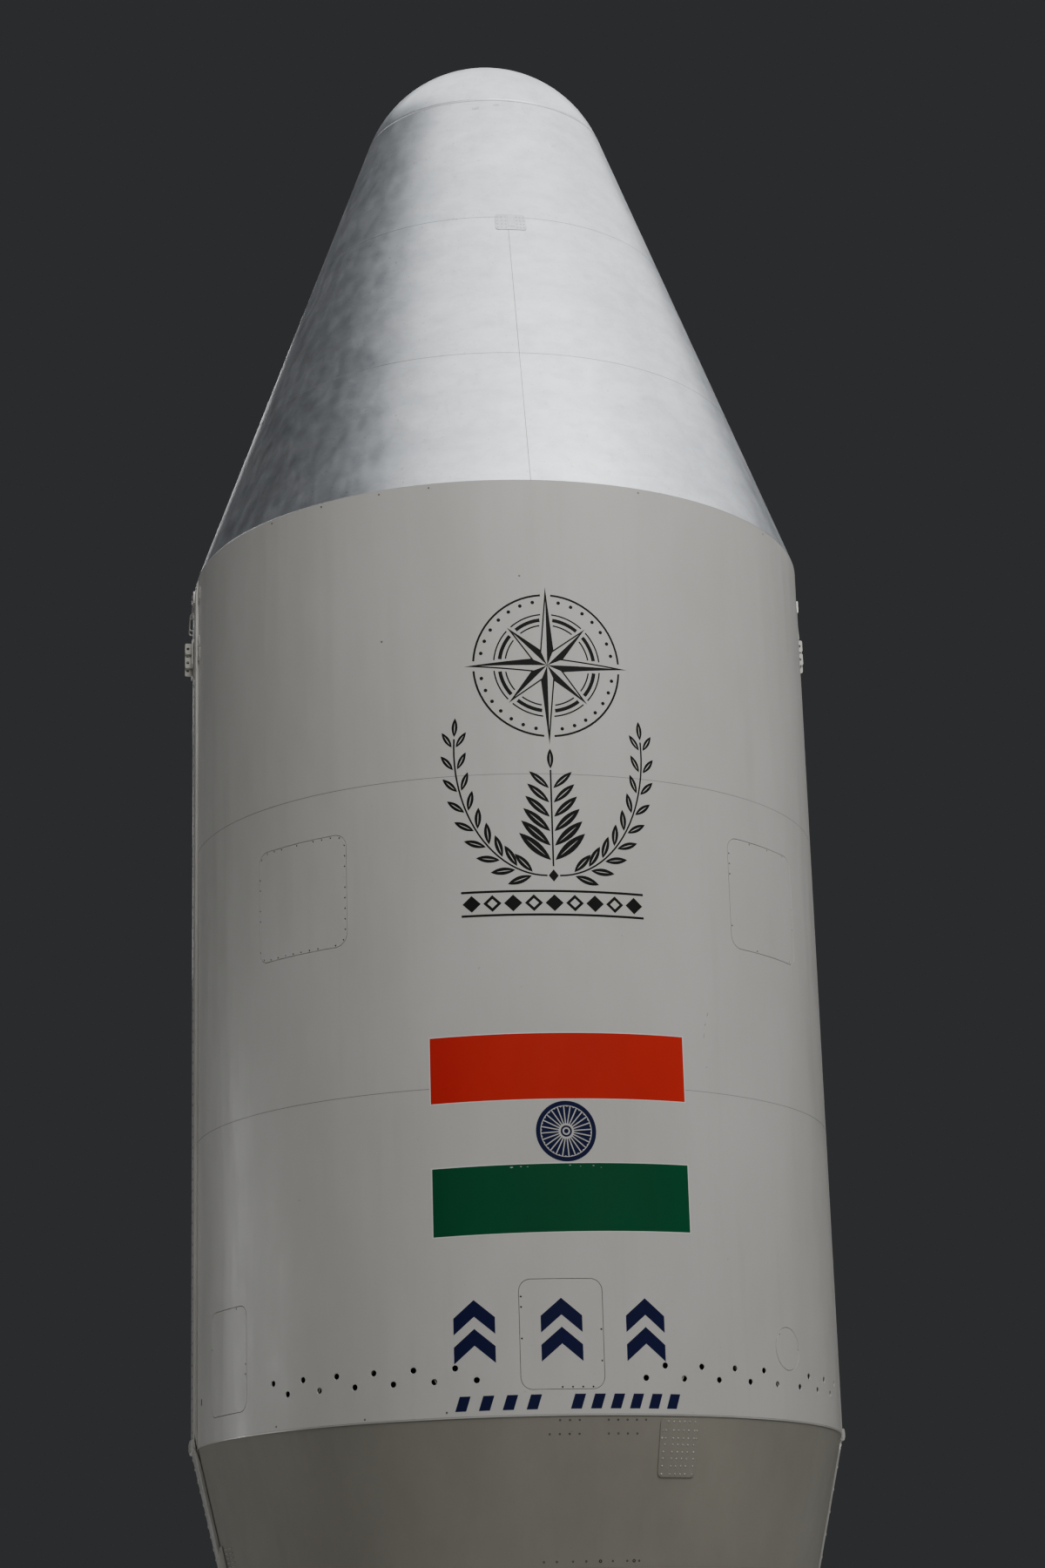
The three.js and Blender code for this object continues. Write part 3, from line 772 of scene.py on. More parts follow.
def ventSpots():
    found = []
    for height, runs in vents["rows"]:
        for first, last in runs:
            count = round((last - first) / vents["step"])
            found += [(first + vents["step"] * at, height) for at in range(count + 1)]
    return [(azimuth, height) for azimuth, height in found if azimuth != vents["hatchStep"]]


barrel = {"chamfer": 0.001, "grid": (0.035, 0.15), "ribClear": 0.004}


def makeBarrel(half, node, low, high):
    mine = [door for door in doors
            if door["half"] == half and low < cylinderBase + doorKinds[door["kind"]]["centre"] < high]
    shape = newShape()
    place = onWall(half)
    side = math.radians(edgeAzimuth) * bodyRadius
    outline = stripOutline(-side, side, low + shell["seam"], high - shell["seam"])
    holes = [doorRing(door, doorMake["gap"] / 2) for door in mine]
    if low == cylinderBase:
        holes += [discOutline(math.radians(azimuth) * bodyRadius, low + height, vents["diameter"])
                  for azimuth, height in ventSpots()]
    cutSheet(shape, outline, holes, place, shell["skin"], barrel["chamfer"], barrel["grid"], (0, 1), 1)
    if low > cylinderBase:
        sealRing(shape, half, low, -edgeAzimuth, edgeAzimuth, 2)
    lipDepth = doorMake["plate"] + doorMake["lipGap"]
    for door in mine:
        outer, opening = doorRing(door, doorMake["frame"]), doorRing(door, doorMake["gap"] / 2)
        lipEdge = doorRing(door, doorMake["gap"] / 2 - doorMake["lip"])
        cutSheet(shape, outer, [opening], onWall(half, overlap - shell["skin"]),
                 lipDepth + doorMake["lipOverlap"] - shell["skin"], finishes=(1, 1))
        cutSheet(shape, outer, [lipEdge], onWall(half, -lipDepth), doorMake["wall"] - lipDepth,
                 finishes=(1, 1))

    def inDoorway(azimuth, height):
        u = math.radians(azimuth) * bodyRadius
        reach = doorMake["frame"] - barrel["ribClear"]
        return any(insideRing(doorRing(door, reach)(0), u, height) for door in mine)

    addFlanges(shape, half, low, high, -edgeAzimuth, edgeAzimuth)
    addRibs(shape, half, low + shell["flangeThick"], high - shell["flangeThick"],
            -edgeAzimuth, edgeAzimuth, inDoorway)
    name = f"{half}_{node}"
    makePiece(shape, name + "_shell", f"{half}_half", [white, primer, sealant], [name])


# Nose cap, with the narrow joint strip under it
cap = {
    "arcSteps": 24, "skin": 0.006, "flange": 0.07, "edge": 0.0012, "strip": 0.011, "groove": 0.0016,
    "stripRoot": 0.001, "stripLift": 0.0005,
}


def makeCap(half):
    low = capSeam + shell["seam"]
    groove = low + cap["strip"]
    outer = [(wallRadius(low) - cap["edge"], low), (wallRadius(low), low + cap["edge"])]
    outer += [(wallRadius(groove), groove), (wallRadius(groove) - cap["groove"], groove + cap["groove"]),
              (wallRadius(groove), groove + 2 * cap["groove"])]
    inner = []
    for at in range(cap["arcSteps"] + 1):
        angle = (math.pi / 2 - coneAngle) * (1 - at / cap["arcSteps"])
        for line, radius in ((outer, capRadius), (inner, capRadius - cap["skin"])):
            line.append((max(1e-4, radius * math.sin(angle)), capCentre + radius * math.cos(angle)))
    inner.reverse()
    flangeTop, flangeEdge = low + shell["flangeThick"], wallRadius(low) - cap["flange"]
    inner += [(wallRadius(flangeTop) - cap["skin"], flangeTop), (flangeEdge, flangeTop), (flangeEdge, low)]
    shape = newShape()
    turned(shape, half, outer + inner)
    root, lift = cap["stripRoot"], cap["stripLift"]
    turned(shape, half, [
        (wallRadius(low) - root, low + root), (wallRadius(low) + lift, low + root + lift),
        (wallRadius(groove) + lift, groove - root), (wallRadius(groove) - root, groove),
    ], finish=1)
    makePiece(shape, f"{half}_nose_cap_shell", f"{half}_half", [silver, coverSilver],
              [f"{half}_nose_cap"])


# Gasket in the split, along both edges of a half
gasket = {
    "clear": 0.0004, "inWall": 0.0006, "outer": 0.0016, "inner": 0.0042, "arcSteps": 14, "reach": 0.85,
    "foot": 0.001,
}


def makeGasket(half):
    sides = []
    for depth in (gasket["outer"], gasket["inner"]):
        line = [(wallRadius(height) - depth, height)
                for height in (halvesBase + gasket["foot"], cylinderBase, shoulder, capSeam)]
        radius = capRadius - depth
        for at in range(gasket["arcSteps"] + 1):
            angle = (math.pi / 2 - coneAngle) * (1 - gasket["reach"] * at / gasket["arcSteps"])
            line.append((radius * math.sin(angle), capCentre + radius * math.cos(angle)))
        sides.append(line)
    near = edgeAzimuth - math.degrees(gasket["inWall"] / bodyRadius)
    far = 90 - math.degrees(gasket["clear"] / bodyRadius)
    shape = newShape()
    for start, end in ((-far, -near), (near, far)):
        turned(shape, half, sides[0] + sides[1][::-1], start, end)
    makePiece(shape, half + "_split_gasket", f"{half}_half", [gasketRubber])


# Machined ring at the foot of the tail: a band below, a lip above and a step between
baseRing = {
    "footWide": 0.044, "topWide": 0.046, "edge": 0.002, "band": 0.03, "step": 0.004, "lip": 0.012,
    "lipInset": 0.001,
}


def makeBaseRing(half):
    low, top = halvesBase, tailBase - shell["seam"]
    edge, step, lipInset = baseRing["edge"], baseRing["step"], baseRing["lipInset"]
    band, lip = low + baseRing["band"], top - baseRing["lip"]
    shape = newShape()
    turned(shape, half, [
        (wallRadius(low) - baseRing["footWide"], low), (wallRadius(low) - edge, low),
        (wallRadius(low), low + edge), (wallRadius(band), band),
        (wallRadius(band + step) - step, band + step), (wallRadius(lip) - step, lip),
        (wallRadius(top) - lipInset, lip + step),
        (wallRadius(top) - lipInset, top), (wallRadius(top) - baseRing["topWide"], top),
    ])
    name = half + "_base_ring"
    makePiece(shape, name + "_shell", f"{half}_half", [shadedTailPaint], [name])


# Rail over the split: down the cylinder and in along the tail. Heights are above the foot of the cylinder.
rail = {
    "width": 0.148, "thick": 0.018, "seat": 0.0004, "top": 4.479, "foot": 0.012, "edge": 0.0035,
    "taper": 0.07, "taperShare": 0.7, "grid": (0.025, 0.05), "stepTurn": 0.8833,
    "screwStep": 0.054, "screwClear": 0.02, "screwSink": 0.0015,
    "tailScrewInset": 0.016, "tailScrewStep": 0.108, "tailScrewClear": 0.03,
}
cornerCover = {
    "low": -0.013, "high": 0.044, "lift": 0.013, "margin": 0.2, "footLift": 0.6, "topLift": 0.7,
    "footBevel": 0.016, "topBevel": 0.012, "footRoot": 0.012, "topRoot": 0.004,
}
railPlate = {
    "low": 4.366, "high": 4.429, "lift": 0.007, "edge": 0.001, "outMargin": 0.3, "inMargin": 1,
    "screws": (0.9, 1.6), "screwInset": 0.012,
}
railHandle = {
    "foot": 4.239, "out": 0.022, "radius": 0.0035, "inset": 1.2, "root": 0.002,
    "bow": [   # share of the way out, height above the handle's foot
        (0, 0.092), (0.5, 0.093), (0.72, 0.086), (0.86, 0.072), (1, 0.022), (1, 0.01), (0.8, 0.001),
        (0.4, 0), (0, 0),
    ],
}


def railPlace(half):
    top = cylinderBase + rail["top"]

    def place(u, v, depth):
        taper = min(1, (top - v) / rail["taper"]) * rail["taperShare"] + 1 - rail["taperShare"]
        lift = max(rail["seat"], rail["thick"] * taper - depth)
        return spot(half, math.degrees(u / bodyRadius), wallRadius(v) + lift, v)
    return place


def addStrip(shape, half, start, end, foot, top):
    left, right = (math.radians(azimuth) * bodyRadius for azimuth in (start, end))
    for low, high in ((foot, cylinderBase), (cylinderBase, top)):
        edge, inset = (fixed([(left + margin, low), (right - margin, low),
                              (right - margin, high), (left + margin, high)])
                       for margin in (0, rail["edge"]))
        cutSheet(shape, lambda growth: inset(0) if growth < 0 else edge(0), [], railPlace(half),
                 rail["thick"] - rail["seat"], rail["edge"], rail["grid"])


def addCornerCover(shape, half, start, end, out):
    low, high = cylinderBase + cornerCover["low"], cylinderBase + cornerCover["high"]
    lift, margin = cornerCover["lift"], cornerCover["margin"]
    turned(shape, half, [
        (out - cornerCover["footRoot"], low), (out + lift * cornerCover["footLift"], low),
        (out + lift, low + cornerCover["footBevel"]), (out + lift, high - cornerCover["topBevel"]),
        (out + lift * cornerCover["topLift"], high), (out - cornerCover["topRoot"], high),
    ], start + margin, end - margin, rail["stepTurn"])


def addRailScrews(shape, half, start, end, foot, top):
    middle = (start + end) / 2
    height = cylinderBase + rail["screwStep"] * 1.5
    while height < top - rail["screwClear"]:
        taper = max(0, height - top + rail["taper"]) / rail["taper"] * rail["taperShare"]
        seat = placeAt(half, middle, height, bodyRadius + rail["thick"] * (1 - taper) - rail["screwSink"])
        addHead(shape, seat, heads["rail"], finish=1)
        height += rail["screwStep"]
    inset = math.degrees(rail["tailScrewInset"] / bodyRadius)
    for azimuth, share in ((start + inset, 0.5), (end - inset, 1)):
        height = foot + rail["tailScrewStep"] * share
        while height < cylinderBase - rail["tailScrewClear"]:
            seat = placeAt(half, azimuth, height, wallRadius(height) + rail["thick"] - headRoot)
            addHead(shape, seat, heads["round"], finish=2)
            height += rail["tailScrewStep"]


def addRailPlate(shape, half, start, end, out):
    low, high = cylinderBase + railPlate["low"], cylinderBase + railPlate["high"]
    lift, edge, inset = railPlate["lift"], railPlate["edge"], railPlate["screwInset"]
    turned(shape, half, [
        (out - edge, low), (out + lift - edge, low), (out + lift, low + edge), (out + lift, high - edge),
        (out + lift - edge, high), (out - edge, high),
    ], start + railPlate["outMargin"], end - railPlate["inMargin"], rail["stepTurn"], 3)
    left, right = railPlate["screws"]
    for azimuth in (start + left, end - right):
        for height in (low + inset, high - inset):
            seat = placeAt(half, azimuth, height, out + lift - headRoot)
            addHead(shape, seat, heads["plate"], 8, 1)


def addRailHandle(shape, half, azimuth, out):
    foot, root = cylinderBase + railHandle["foot"], out - railHandle["root"]
    addTube(shape, [spot(half, azimuth, root + railHandle["out"] * share, foot + height)
                    for share, height in railHandle["bow"]], railHandle["radius"], 10, 3)


def makeRail(half, side, name):
    turn = math.degrees(rail["width"] / bodyRadius)
    start, end = (-edgeAzimuth, turn - 90) if side < 0 else (90 - turn, edgeAzimuth)
    foot, top = halvesBase + rail["foot"], cylinderBase + rail["top"]
    out = bodyRadius + rail["thick"]
    inset = railHandle["inset"]
    shape = newShape()
    addStrip(shape, half, start, end, foot, top)
    addCornerCover(shape, half, start, end, out)
    addRailScrews(shape, half, start, end, foot, top)
    addRailPlate(shape, half, start, end, out)
    addRailHandle(shape, half, start + inset if side < 0 else end - inset, out)
    finishes = [railPaint, nearBlackMetalAndShade, alloy, alloy]
    name = f"{half}_{name}_rail"
    makePiece(shape, name + "_strip", f"{half}_half", finishes, [name])


for half in halfTurn:
    makeBaseRing(half)
    makeSection(half, "boat_tail", tailBase, cylinderBase, shadedTailPaint,
                lift=-tail["inset"], bead=tail["bead"])
    makeBarrel(half, "lower_barrel", cylinderBase, middleSeam)
    makeBarrel(half, "middle_barrel", middleSeam, upperSeam)
    makeBarrel(half, "upper_barrel", upperSeam, shoulder)
    for node, low, high in (("lower_cone", shoulder, lowerConeTop),
                            ("middle_cone", lowerConeTop, middleConeTop)):
        makeSection(half, node + "_left", low, high, silver, end=coneSeam, seamed=True)
        makeSection(half, node + "_right", low, high, silver, start=coneSeam)
    makeSection(half, "upper_cone", middleConeTop, capSeam, silver)
    makeCap(half)
    makeGasket(half)
    makeRail(half, -1, "left")
    makeRail(half, 1, "right")
    print(half, "half made")

for door in doors:
    makeDoor(door)
print("doors made")


# Fittings on the shells. Heights are above the foot of the cylinder.
fitting = {"grid": (0.035, 0.06), "root": 0.001}
tailScrews = [   # height, first azimuth, step, and which steps have a screw
    (-0.025, -0.7, 1.61, (0, 1, 2, 5, 6, 7, 8, 9)),
    (-0.085, -2.4, 1.64, (0, 1, 2, 3, 6, 7, 8, 9)),
]
footScrews = {"height": -0.636, "flat": (-3.6, -1.3, 1.6, 4.0, 8.9, 11.6, 13.9), "big": (6.6, 12.9)}
shoulderScrews = {"height": 4.48, "azimuths": (-51.7, -39.8, -28.1, -18.9, 19.0, 51.7)}
strayScrews = [(-28.0, 3.715), (-3.4, 4.001), (-51.8, 0.02), (-33.2, 0.014), (-19.0, 0.022)]
# A small slot low on the left of the cylinder, drawn as a flat dark metal patch: its darkness is painted
# shade
slotShadePatch = {
    "azimuths": (-80.5, -79.9), "heights": (0.192, 0.222), "lift": 0.0006, "corner": 0.002, "edge": 0.0003,
}
comb = {
    "azimuths": (-80.3, -77.7), "top": -0.49, "step": -0.021, "count": 9, "turn": 2, "tall": 0.0035,
    "lift": 0.0016, "corner": 0.001,
}
pads = [   # azimuths, heights, lift
    ((-84.4, -82.7), (4.36, 4.43), 0.004),
    ((-84.4, -83.3), (4.1, 4.165), 0.005),
    ((-84.4, -82.8), (4.03, 4.095), 0.005),
]
padMake = {"corner": 0.004, "rivetInset": 0.01}
doubler = {
    "azimuths": (16.4, 23.5), "heights": (-0.275, -0.018), "lift": 0.0022, "corner": 0.022,
    "rows": [   # height, and shares of the way across
        (-0.032, (0.2, 0.34, 0.49, 0.62, 0.76, 0.91)),
        (-0.071, (0.06, 0.15, 0.35, 0.48, 0.62, 0.75, 0.91, 0.98)),
        (-0.105, (0.06, 0.15, 0.35, 0.48, 0.62, 0.75, 0.91, 0.97)),
        (-0.133, (0.14, 0.35, 0.48, 0.62, 0.75, 0.91)),
        (-0.165, (0.11, 0.34, 0.48, 0.61, 0.75, 0.93)),
        (-0.194, (0.11, 0.34, 0.47, 0.61, 0.74, 0.93)),
        (-0.227, (0.1, 0.33, 0.46, 0.6, 0.73, 0.93)),
        (-0.261, (0.1, 0.32, 0.46, 0.6, 0.73, 0.93)),
    ],
}
seamCover = {
    "azimuths": (-4.8, 4.7), "heights": (6.147, 6.255), "lift": 0.0032, "corner": 0.016, "edge": 0.0012,
    "rivetStep": 0.024, "rivetInset": 0.014, "rivetClear": 0.01, "rivetSink": 0.0006, "sideClear": (0.7, 0.6),
}
innerCover = {
    "azimuths": (-0.9, 1.3), "heights": (6.17, 6.24), "lift": 0.0042, "corner": 0.004, "edge": 0.0008,
}


def addPlate(shape, half, azimuths, heights, lift, corner, edge=0.001, under=fitting["root"]):
    low, high = (cylinderBase + height for height in heights)
    reference = wallRadius((low + high) / 2)
    left, right = (math.radians(azimuth) * reference for azimuth in azimuths)
    outline = doorOutline((left + right) / 2, (low + high) / 2, right - left, high - low, corner)
    cutSheet(shape, outline, [], onWall(half, lift, reference), lift + under, edge, fitting["grid"])


def addScrews(shape, half, places, head, finish=0, sink=0.0):
    for azimuth, height in places:
        height += cylinderBase
        seat = placeAt(half, azimuth, height, wallRadius(height) - sink - headRoot)
        addHead(shape, seat, heads[head], finish=finish)


def makeDoubler():
    shape = newShape()
    (start, end), heights = doubler["azimuths"], doubler["heights"]
    addPlate(shape, "front", (start, end), heights, doubler["lift"], doubler["corner"],
             under=tail["inset"] + fitting["root"])
    for height, shares in doubler["rows"]:
        addScrews(shape, "front", [(start + (end - start) * share, height) for share in shares],
                  "rivet", 1, -doubler["lift"])
    name = "front_tail_doubler"
    makePiece(shape, name + "_plate", "front_half", [shadedTailPaint, alloy], [name])


def makeSeamCover():
    shape = newShape()
    for cover in (seamCover, innerCover):
        addPlate(shape, "front", cover["azimuths"], cover["heights"], cover["lift"], cover["corner"],
                 cover["edge"])
    (start, end), (low, high) = seamCover["azimuths"], seamCover["heights"]
    innerStart, innerEnd = innerCover["azimuths"]
    outClear, inClear = seamCover["sideClear"]
    for left, right in ((start + outClear, innerStart - inClear), (innerEnd + inClear, end - outClear)):
        for azimuth in (left, (left + right) / 2, right):
            height = low + seamCover["rivetInset"]
            while height < high - seamCover["rivetClear"]:
                addScrews(shape, "front", [(azimuth, height)], "rivet", 1,
                          seamCover["rivetSink"] - seamCover["lift"])
                height += seamCover["rivetStep"]
    name = "front_seam_cover"
    makePiece(shape, name + "_plate", "front_half", [coverSilver, alloy], [name])


def makeScrews(half):
    shape = newShape()
    for height, first, step, numbers in tailScrews:
        addScrews(shape, half, [(first + step * number, height) for number in numbers], "flat",
                  sink=tail["inset"])
    for head in ("flat", "big"):
        addScrews(shape, half, [(azimuth, footScrews["height"]) for azimuth in footScrews[head]], head,
                  sink=tail["inset"])
    addScrews(shape, half, [(azimuth, shoulderScrews["height"]) for azimuth in shoulderScrews["azimuths"]],
              "flat")
    if half == "front":
        addScrews(shape, half, strayScrews, "flat")
        # dark patch as painted shade for the small slot
        addPlate(shape, half, slotShadePatch["azimuths"], slotShadePatch["heights"], slotShadePatch["lift"],
                 slotShadePatch["corner"], slotShadePatch["edge"])
    makePiece(shape, half + "_screws", f"{half}_half", [nearBlackMetalAndShade])


# Slats at the tail's left
def makeComb(half):
    shape = newShape()
    for number in range(comb["count"]):
        height = comb["top"] + comb["step"] * number
        for azimuth in comb["azimuths"]:
            addPlate(shape, half, (azimuth, azimuth + comb["turn"]), (height, height + comb["tall"]),
                     comb["lift"], comb["corner"], 0, under=tail["inset"] + fitting["root"])
    makePiece(shape, half + "_tail_comb", f"{half}_half", [alloy])


# Small riveted pads beside the rail
def makePads(half):
    shape = newShape()
    inset = padMake["rivetInset"]
    for azimuths, (low, high), lift in pads:
        addPlate(shape, half, azimuths, (low, high), lift, padMake["corner"])
        for height in (low + inset, (low + high) / 2, high - inset):
            addScrews(shape, half, [(sum(azimuths) / 2, height)], "rivet", 1, -lift)
    makePiece(shape, half + "_rail_pads", f"{half}_half", [railPaint, alloy])


# Skirt: stringers on its wall, nuts on its rings, fasteners on the deck
skirt = {
    "stringers": 36, "firstStringer": 5, "stringerTurn": 0.55, "stringerLift": 0.01, "stringerClear": 0.001,
    "stringerEnd": 0.012, "footNuts": 48, "footNut": 0.007, "footNutOut": 0.004,
    "deckRings": ((0.66, 36), (0.98, 24), (1.27, 48)), "deckNut": 0.006,   # radius, count
}
# Washer, nut and bolt end: sides, and rings of (radius, rise) in shares of the nut's size
nutParts = [
    (16, [(1.35, 0), (1.35, 0.25)]),
    (6, [(1, 0.25), (1, 1), (0.9, 1.1)]),
    (10, [(0.55, 1.05), (0.55, 1.5)]),
]


def addNut(shape, radius, height, angle, size):
    centre = Vector((radius * math.sin(angle), -radius * math.cos(angle), height))
    seat = (centre, Vector((1, 0, 0)), Vector((0, 1, 0)), Vector((0, 0, 1)))
    for sides, rings in nutParts:
        addHead(shape, seat, [(size * wide, size * rise) for wide, rise in rings], sides)


def makeSkirtDetail():
    wall, foot, top = (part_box(node) for node in ("skirt_wall", "skirt_foot_ring", "skirt_top_ring"))
    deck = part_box("payload_deck")[1].z
    radius = wall[1].x
    shape = newShape()
    low, high = foot[1].z + skirt["stringerClear"], top[0].z - skirt["stringerClear"]
    slope, lift, turn = skirt["stringerEnd"], skirt["stringerLift"], skirt["stringerTurn"]
    for number in range(skirt["stringers"]):
        azimuth = 360 * number / skirt["stringers"] + skirt["firstStringer"]
        turned(shape, "front", [(radius - overlap, low), (radius + lift, low + slope),
                                (radius + lift, high - slope), (radius - overlap, high)],
               azimuth - turn, azimuth + turn, turn)
    makePiece(shape, "skirt_stringers", "skirt", [skirtPaint])
    shape = newShape()
    middle, count = (radius + foot[1].x) / 2 + skirt["footNutOut"], skirt["footNuts"]
    for number in range(count):
        angle = 2 * math.pi * (number + 0.5) / count
        addNut(shape, middle, foot[1].z - overlap, angle, skirt["footNut"])
    for ring, count in skirt["deckRings"]:
        for number in range(count):
            addNut(shape, ring, deck - overlap, 2 * math.pi * number / count, skirt["deckNut"])
    makePiece(shape, "skirt_nuts", "skirt", [alloy])


makeDoubler()
makeSeamCover()
makeSkirtDetail()
for half in halfTurn:
    makeScrews(half)
    makeComb(half)
    makePads(half)
print("fittings made")

# Paint marks: thin closed films laid on the wall. Places are (arc, height) on the cylinder.
film = {"lift": 0.0004, "thick": 0.001, "grid": (0.035, 0.07)}


def around(u, v, radius, angle):
    return (u + radius * math.cos(angle), v + radius * math.sin(angle))


def circle(u, v, radius, count=64):
    return discOutline(u, v, radius * 2, count)(0)


def makeFilm(name, half, body, finish, drawings):
    shape = newShape()
    for outline, holes in drawings:
        high = [(u, v + cylinderBase) for u, v in outline]
        cuts = [fixed([(u, v + cylinderBase) for u, v in hole]) for hole in holes]
        cutSheet(shape, fixed(high), cuts, onWall(half, film["lift"]), film["thick"],
                 grid=film["grid"], wallSide=1)
    makePiece(shape, name, body, [finish])


bands = {
    "azimuths": (-20.65, 23.3), "margin": 0.005, "marginGap": 0.0002,
    "red": {"low": 1.428, "high": 1.737, "rise": 0.014},
    "green": {"low": 0.812, "high": 1.125, "rise": 0.018},
    "chips": [   # in the green band: share of its length, depth under its top, size
        (0.3, 0.012, 0.009), (0.335, 0.01, 0.006), (0.36, 0.012, 0.005), (0.52, 0.009, 0.006),
        (0.56, 0.014, 0.004), (0.61, 0.012, 0.006), (0.64, 0.02, 0.004),
    ],
    "chip": [(-1, 0), (-0.2, -0.3), (1, -0.1), (0.4, 0.35), (-0.5, 0.25)],   # corners, in shares of its size
}
wheel = {
    "azimuth": 1.76, "height": 1.2835, "rim": (0.141, 0.1205), "hub": (0.0265, 0.018), "dot": 0.0105,
    "spokes": 24, "spokeWidth": 0.0055, "notch": 0.004, "turn": 4.5,
    "wedge": ((0.036, (0, 1)), (0.1165, (1, 0.72, 0.5, 0.28, 0))),   # radius, shares of the way across
}


def bandCorners(name, margin=0.0):
    band = bands[name]
    left, right = (math.radians(azimuth) * bodyRadius for azimuth in bands["azimuths"])
    left, right = left - margin, right + margin
    low, high, rise = band["low"] - margin, band["high"] + margin, band["rise"]
    return [(left, low), (right, low + rise), (right, high + rise), (left, high)]


# White margins round both bands
def marginDrawings():
    return [(bandCorners(name, bands["margin"]), [bandCorners(name, bands["marginGap"])])
            for name in ("red", "green")]


def bandDrawing(name):
    band = bands[name]
    (left, low), (right, _), _, (_, high) = bandCorners(name)
    rise = band["rise"]
    chips = []
    if name == "green":
        for share, down, size in bands["chips"]:
            u, v = left + (right - left) * share, high + rise * share - down
            chips.append([(u + size * across, v + size * up) for across, up in bands["chip"]])
    return [(bandCorners(name), chips)]


def wheelDrawings():
    u, v = math.radians(wheel["azimuth"]) * bodyRadius, wheel["height"]
    drawings = [(circle(u, v, outer), [circle(u, v, inner)])
                for outer, inner in (wheel["rim"], wheel["hub"])]
    drawings.append((circle(u, v, wheel["dot"], 24), []))
    step = 2 * math.pi / wheel["spokes"]
    for number in range(wheel["spokes"]):
        start = math.radians(90 + wheel["turn"]) + number * step
        points = []
        for radius, shares in wheel["wedge"]:
            clear = math.asin(wheel["spokeWidth"] / 2 / radius)
            for share in shares:
                angle = start + clear + (step - 2 * clear) * share
                reach = radius - (wheel["notch"] if share == 0.5 else 0)
                points.append(around(u, v, reach, angle))
        drawings.append((points, []))
    return drawings


# Ornament in the upper middle: a compass star, two leafy sprays and a row of lozenges
ornament = {
    "middle": 0.028, "starHeight": 3.545, "longPoint": 0.4, "shortPoint": 0.27, "valley": 0.085,
    "outline": 0.007, "rings": [(0.2, 0.207), (0.222, 0.24), (0.255, 0.262)], "ringGap": 0.012,
    "dotRing": 0.325, "dots": 7, "dotSize": 0.009, "outerRing": (0.352, 0.362), "outerGap": 0.07,
    "stemFoot": 2.5, "stemStart": 0.03, "stemSpread": 0.43, "stemRise": 0.62, "stemTurn": 96,
    "stemWidth": 0.008, "leaves": 9, "leafShares": (0.1, 0.96), "leafShrink": 0.3, "tipLeaf": 0.75,
    "leafLength": 0.125, "leafWidth": 0.038, "leafTurn": 33, "leafClear": 0.01,
    "leafCut": (0.16, 0.78), "leafCutHalf": 0.0022, "leafPoint": 0.85,
    "trunkFoot": 2.545, "trunkTop": 3.02, "trunkLeaves": 6, "trunkLeafLength": 0.2,
    "trunkLeafWidth": 0.052, "trunkLeafTurn": 48, "trunkShrink": 0.45, "trunkClear": (0.03, 0.05),
    "trunkTipRise": 0.006, "trunkTip": (0.5, 0.6),
    "bandLow": 2.305, "bandHigh": 2.43, "bandHalf": 0.44, "bandLine": 0.011, "lozenges": 9,
    "lozengeWide": 0.44, "lozengeHole": 0.55, "tie": (0.024, 0.03),
}


# Angle from a point's middle to its edge, at a radius, found by halving
def pointAngle(tip, radius):
    valley = ornament["valley"]
    low, high = 0.0, 1.0
    for attempt in range(30):
        share = (low + high) / 2
        x = tip + (valley * math.cos(math.pi / 8) - tip) * share
        y = valley * math.sin(math.pi / 8) * share
        if math.hypot(x, y) > radius:
            low = share
        else:
            high = share
    return math.atan2(y, x)


def arcBand(u, v, inner, outer, start, end, parts=8):
    angles = [start + (end - start) * at / parts for at in range(parts + 1)]
    outside = [around(u, v, outer, angle) for angle in angles]
    return outside + [around(u, v, inner, angle) for angle in reversed(angles)]


def rectangle(left, right, low, high):
    return [(left, low), (right, low), (right, high), (left, high)]


def lozenge(u, v, wide, tall):
    return [(u - wide, v), (u, v - tall), (u + wide, v), (u, v + tall)]


def starDrawings():
    u, v = ornament["middle"], ornament["starHeight"]
    valley, eighth = ornament["valley"], math.pi / 4
    drawings = []
    for number in range(8):
        angle = number * eighth
        tip = ornament["shortPoint"] if number % 2 else ornament["longPoint"]
        other = ornament["longPoint"] if number % 2 else ornament["shortPoint"]
        reach = around(u, v, tip, angle)
        drawings.append(([(u, v), around(u, v, valley, angle - eighth / 2), reach], []))
        corner = around(u, v, valley, angle + eighth / 2)
        across = abs((reach[0] - u) * (corner[1] - v) - (reach[1] - v) * (corner[0] - u))
        share = 1 - ornament["outline"] * math.dist(reach, corner) / across
        inner = [(u + (x - u) * share, v + (y - v) * share) for x, y in (corner, reach)]
        drawings.append(([reach, corner, *inner], []))
        for low, high in ornament["rings"]:
            gap = ornament["ringGap"] / low
            start = angle + pointAngle(tip, low) + gap if low < tip else angle + gap
            end = angle + eighth - (pointAngle(other, low) + gap if low < other else gap)
            drawings.append((arcBand(u, v, low, high, start, end), []))
    gap = ornament["outerGap"]
    for quarter in range(4):
        start = quarter * math.pi / 2
        for at in range(ornament["dots"]):
            angle = start + math.pi / 2 * (at + 1) / (ornament["dots"] + 1)
            middle = around(u, v, ornament["dotRing"], angle)
            drawings.append((circle(*middle, ornament["dotSize"], 14), []))
        arc = arcBand(u, v, *ornament["outerRing"], start + gap, start + math.pi / 2 - gap, 16)
        drawings.append((arc, []))
    return drawings


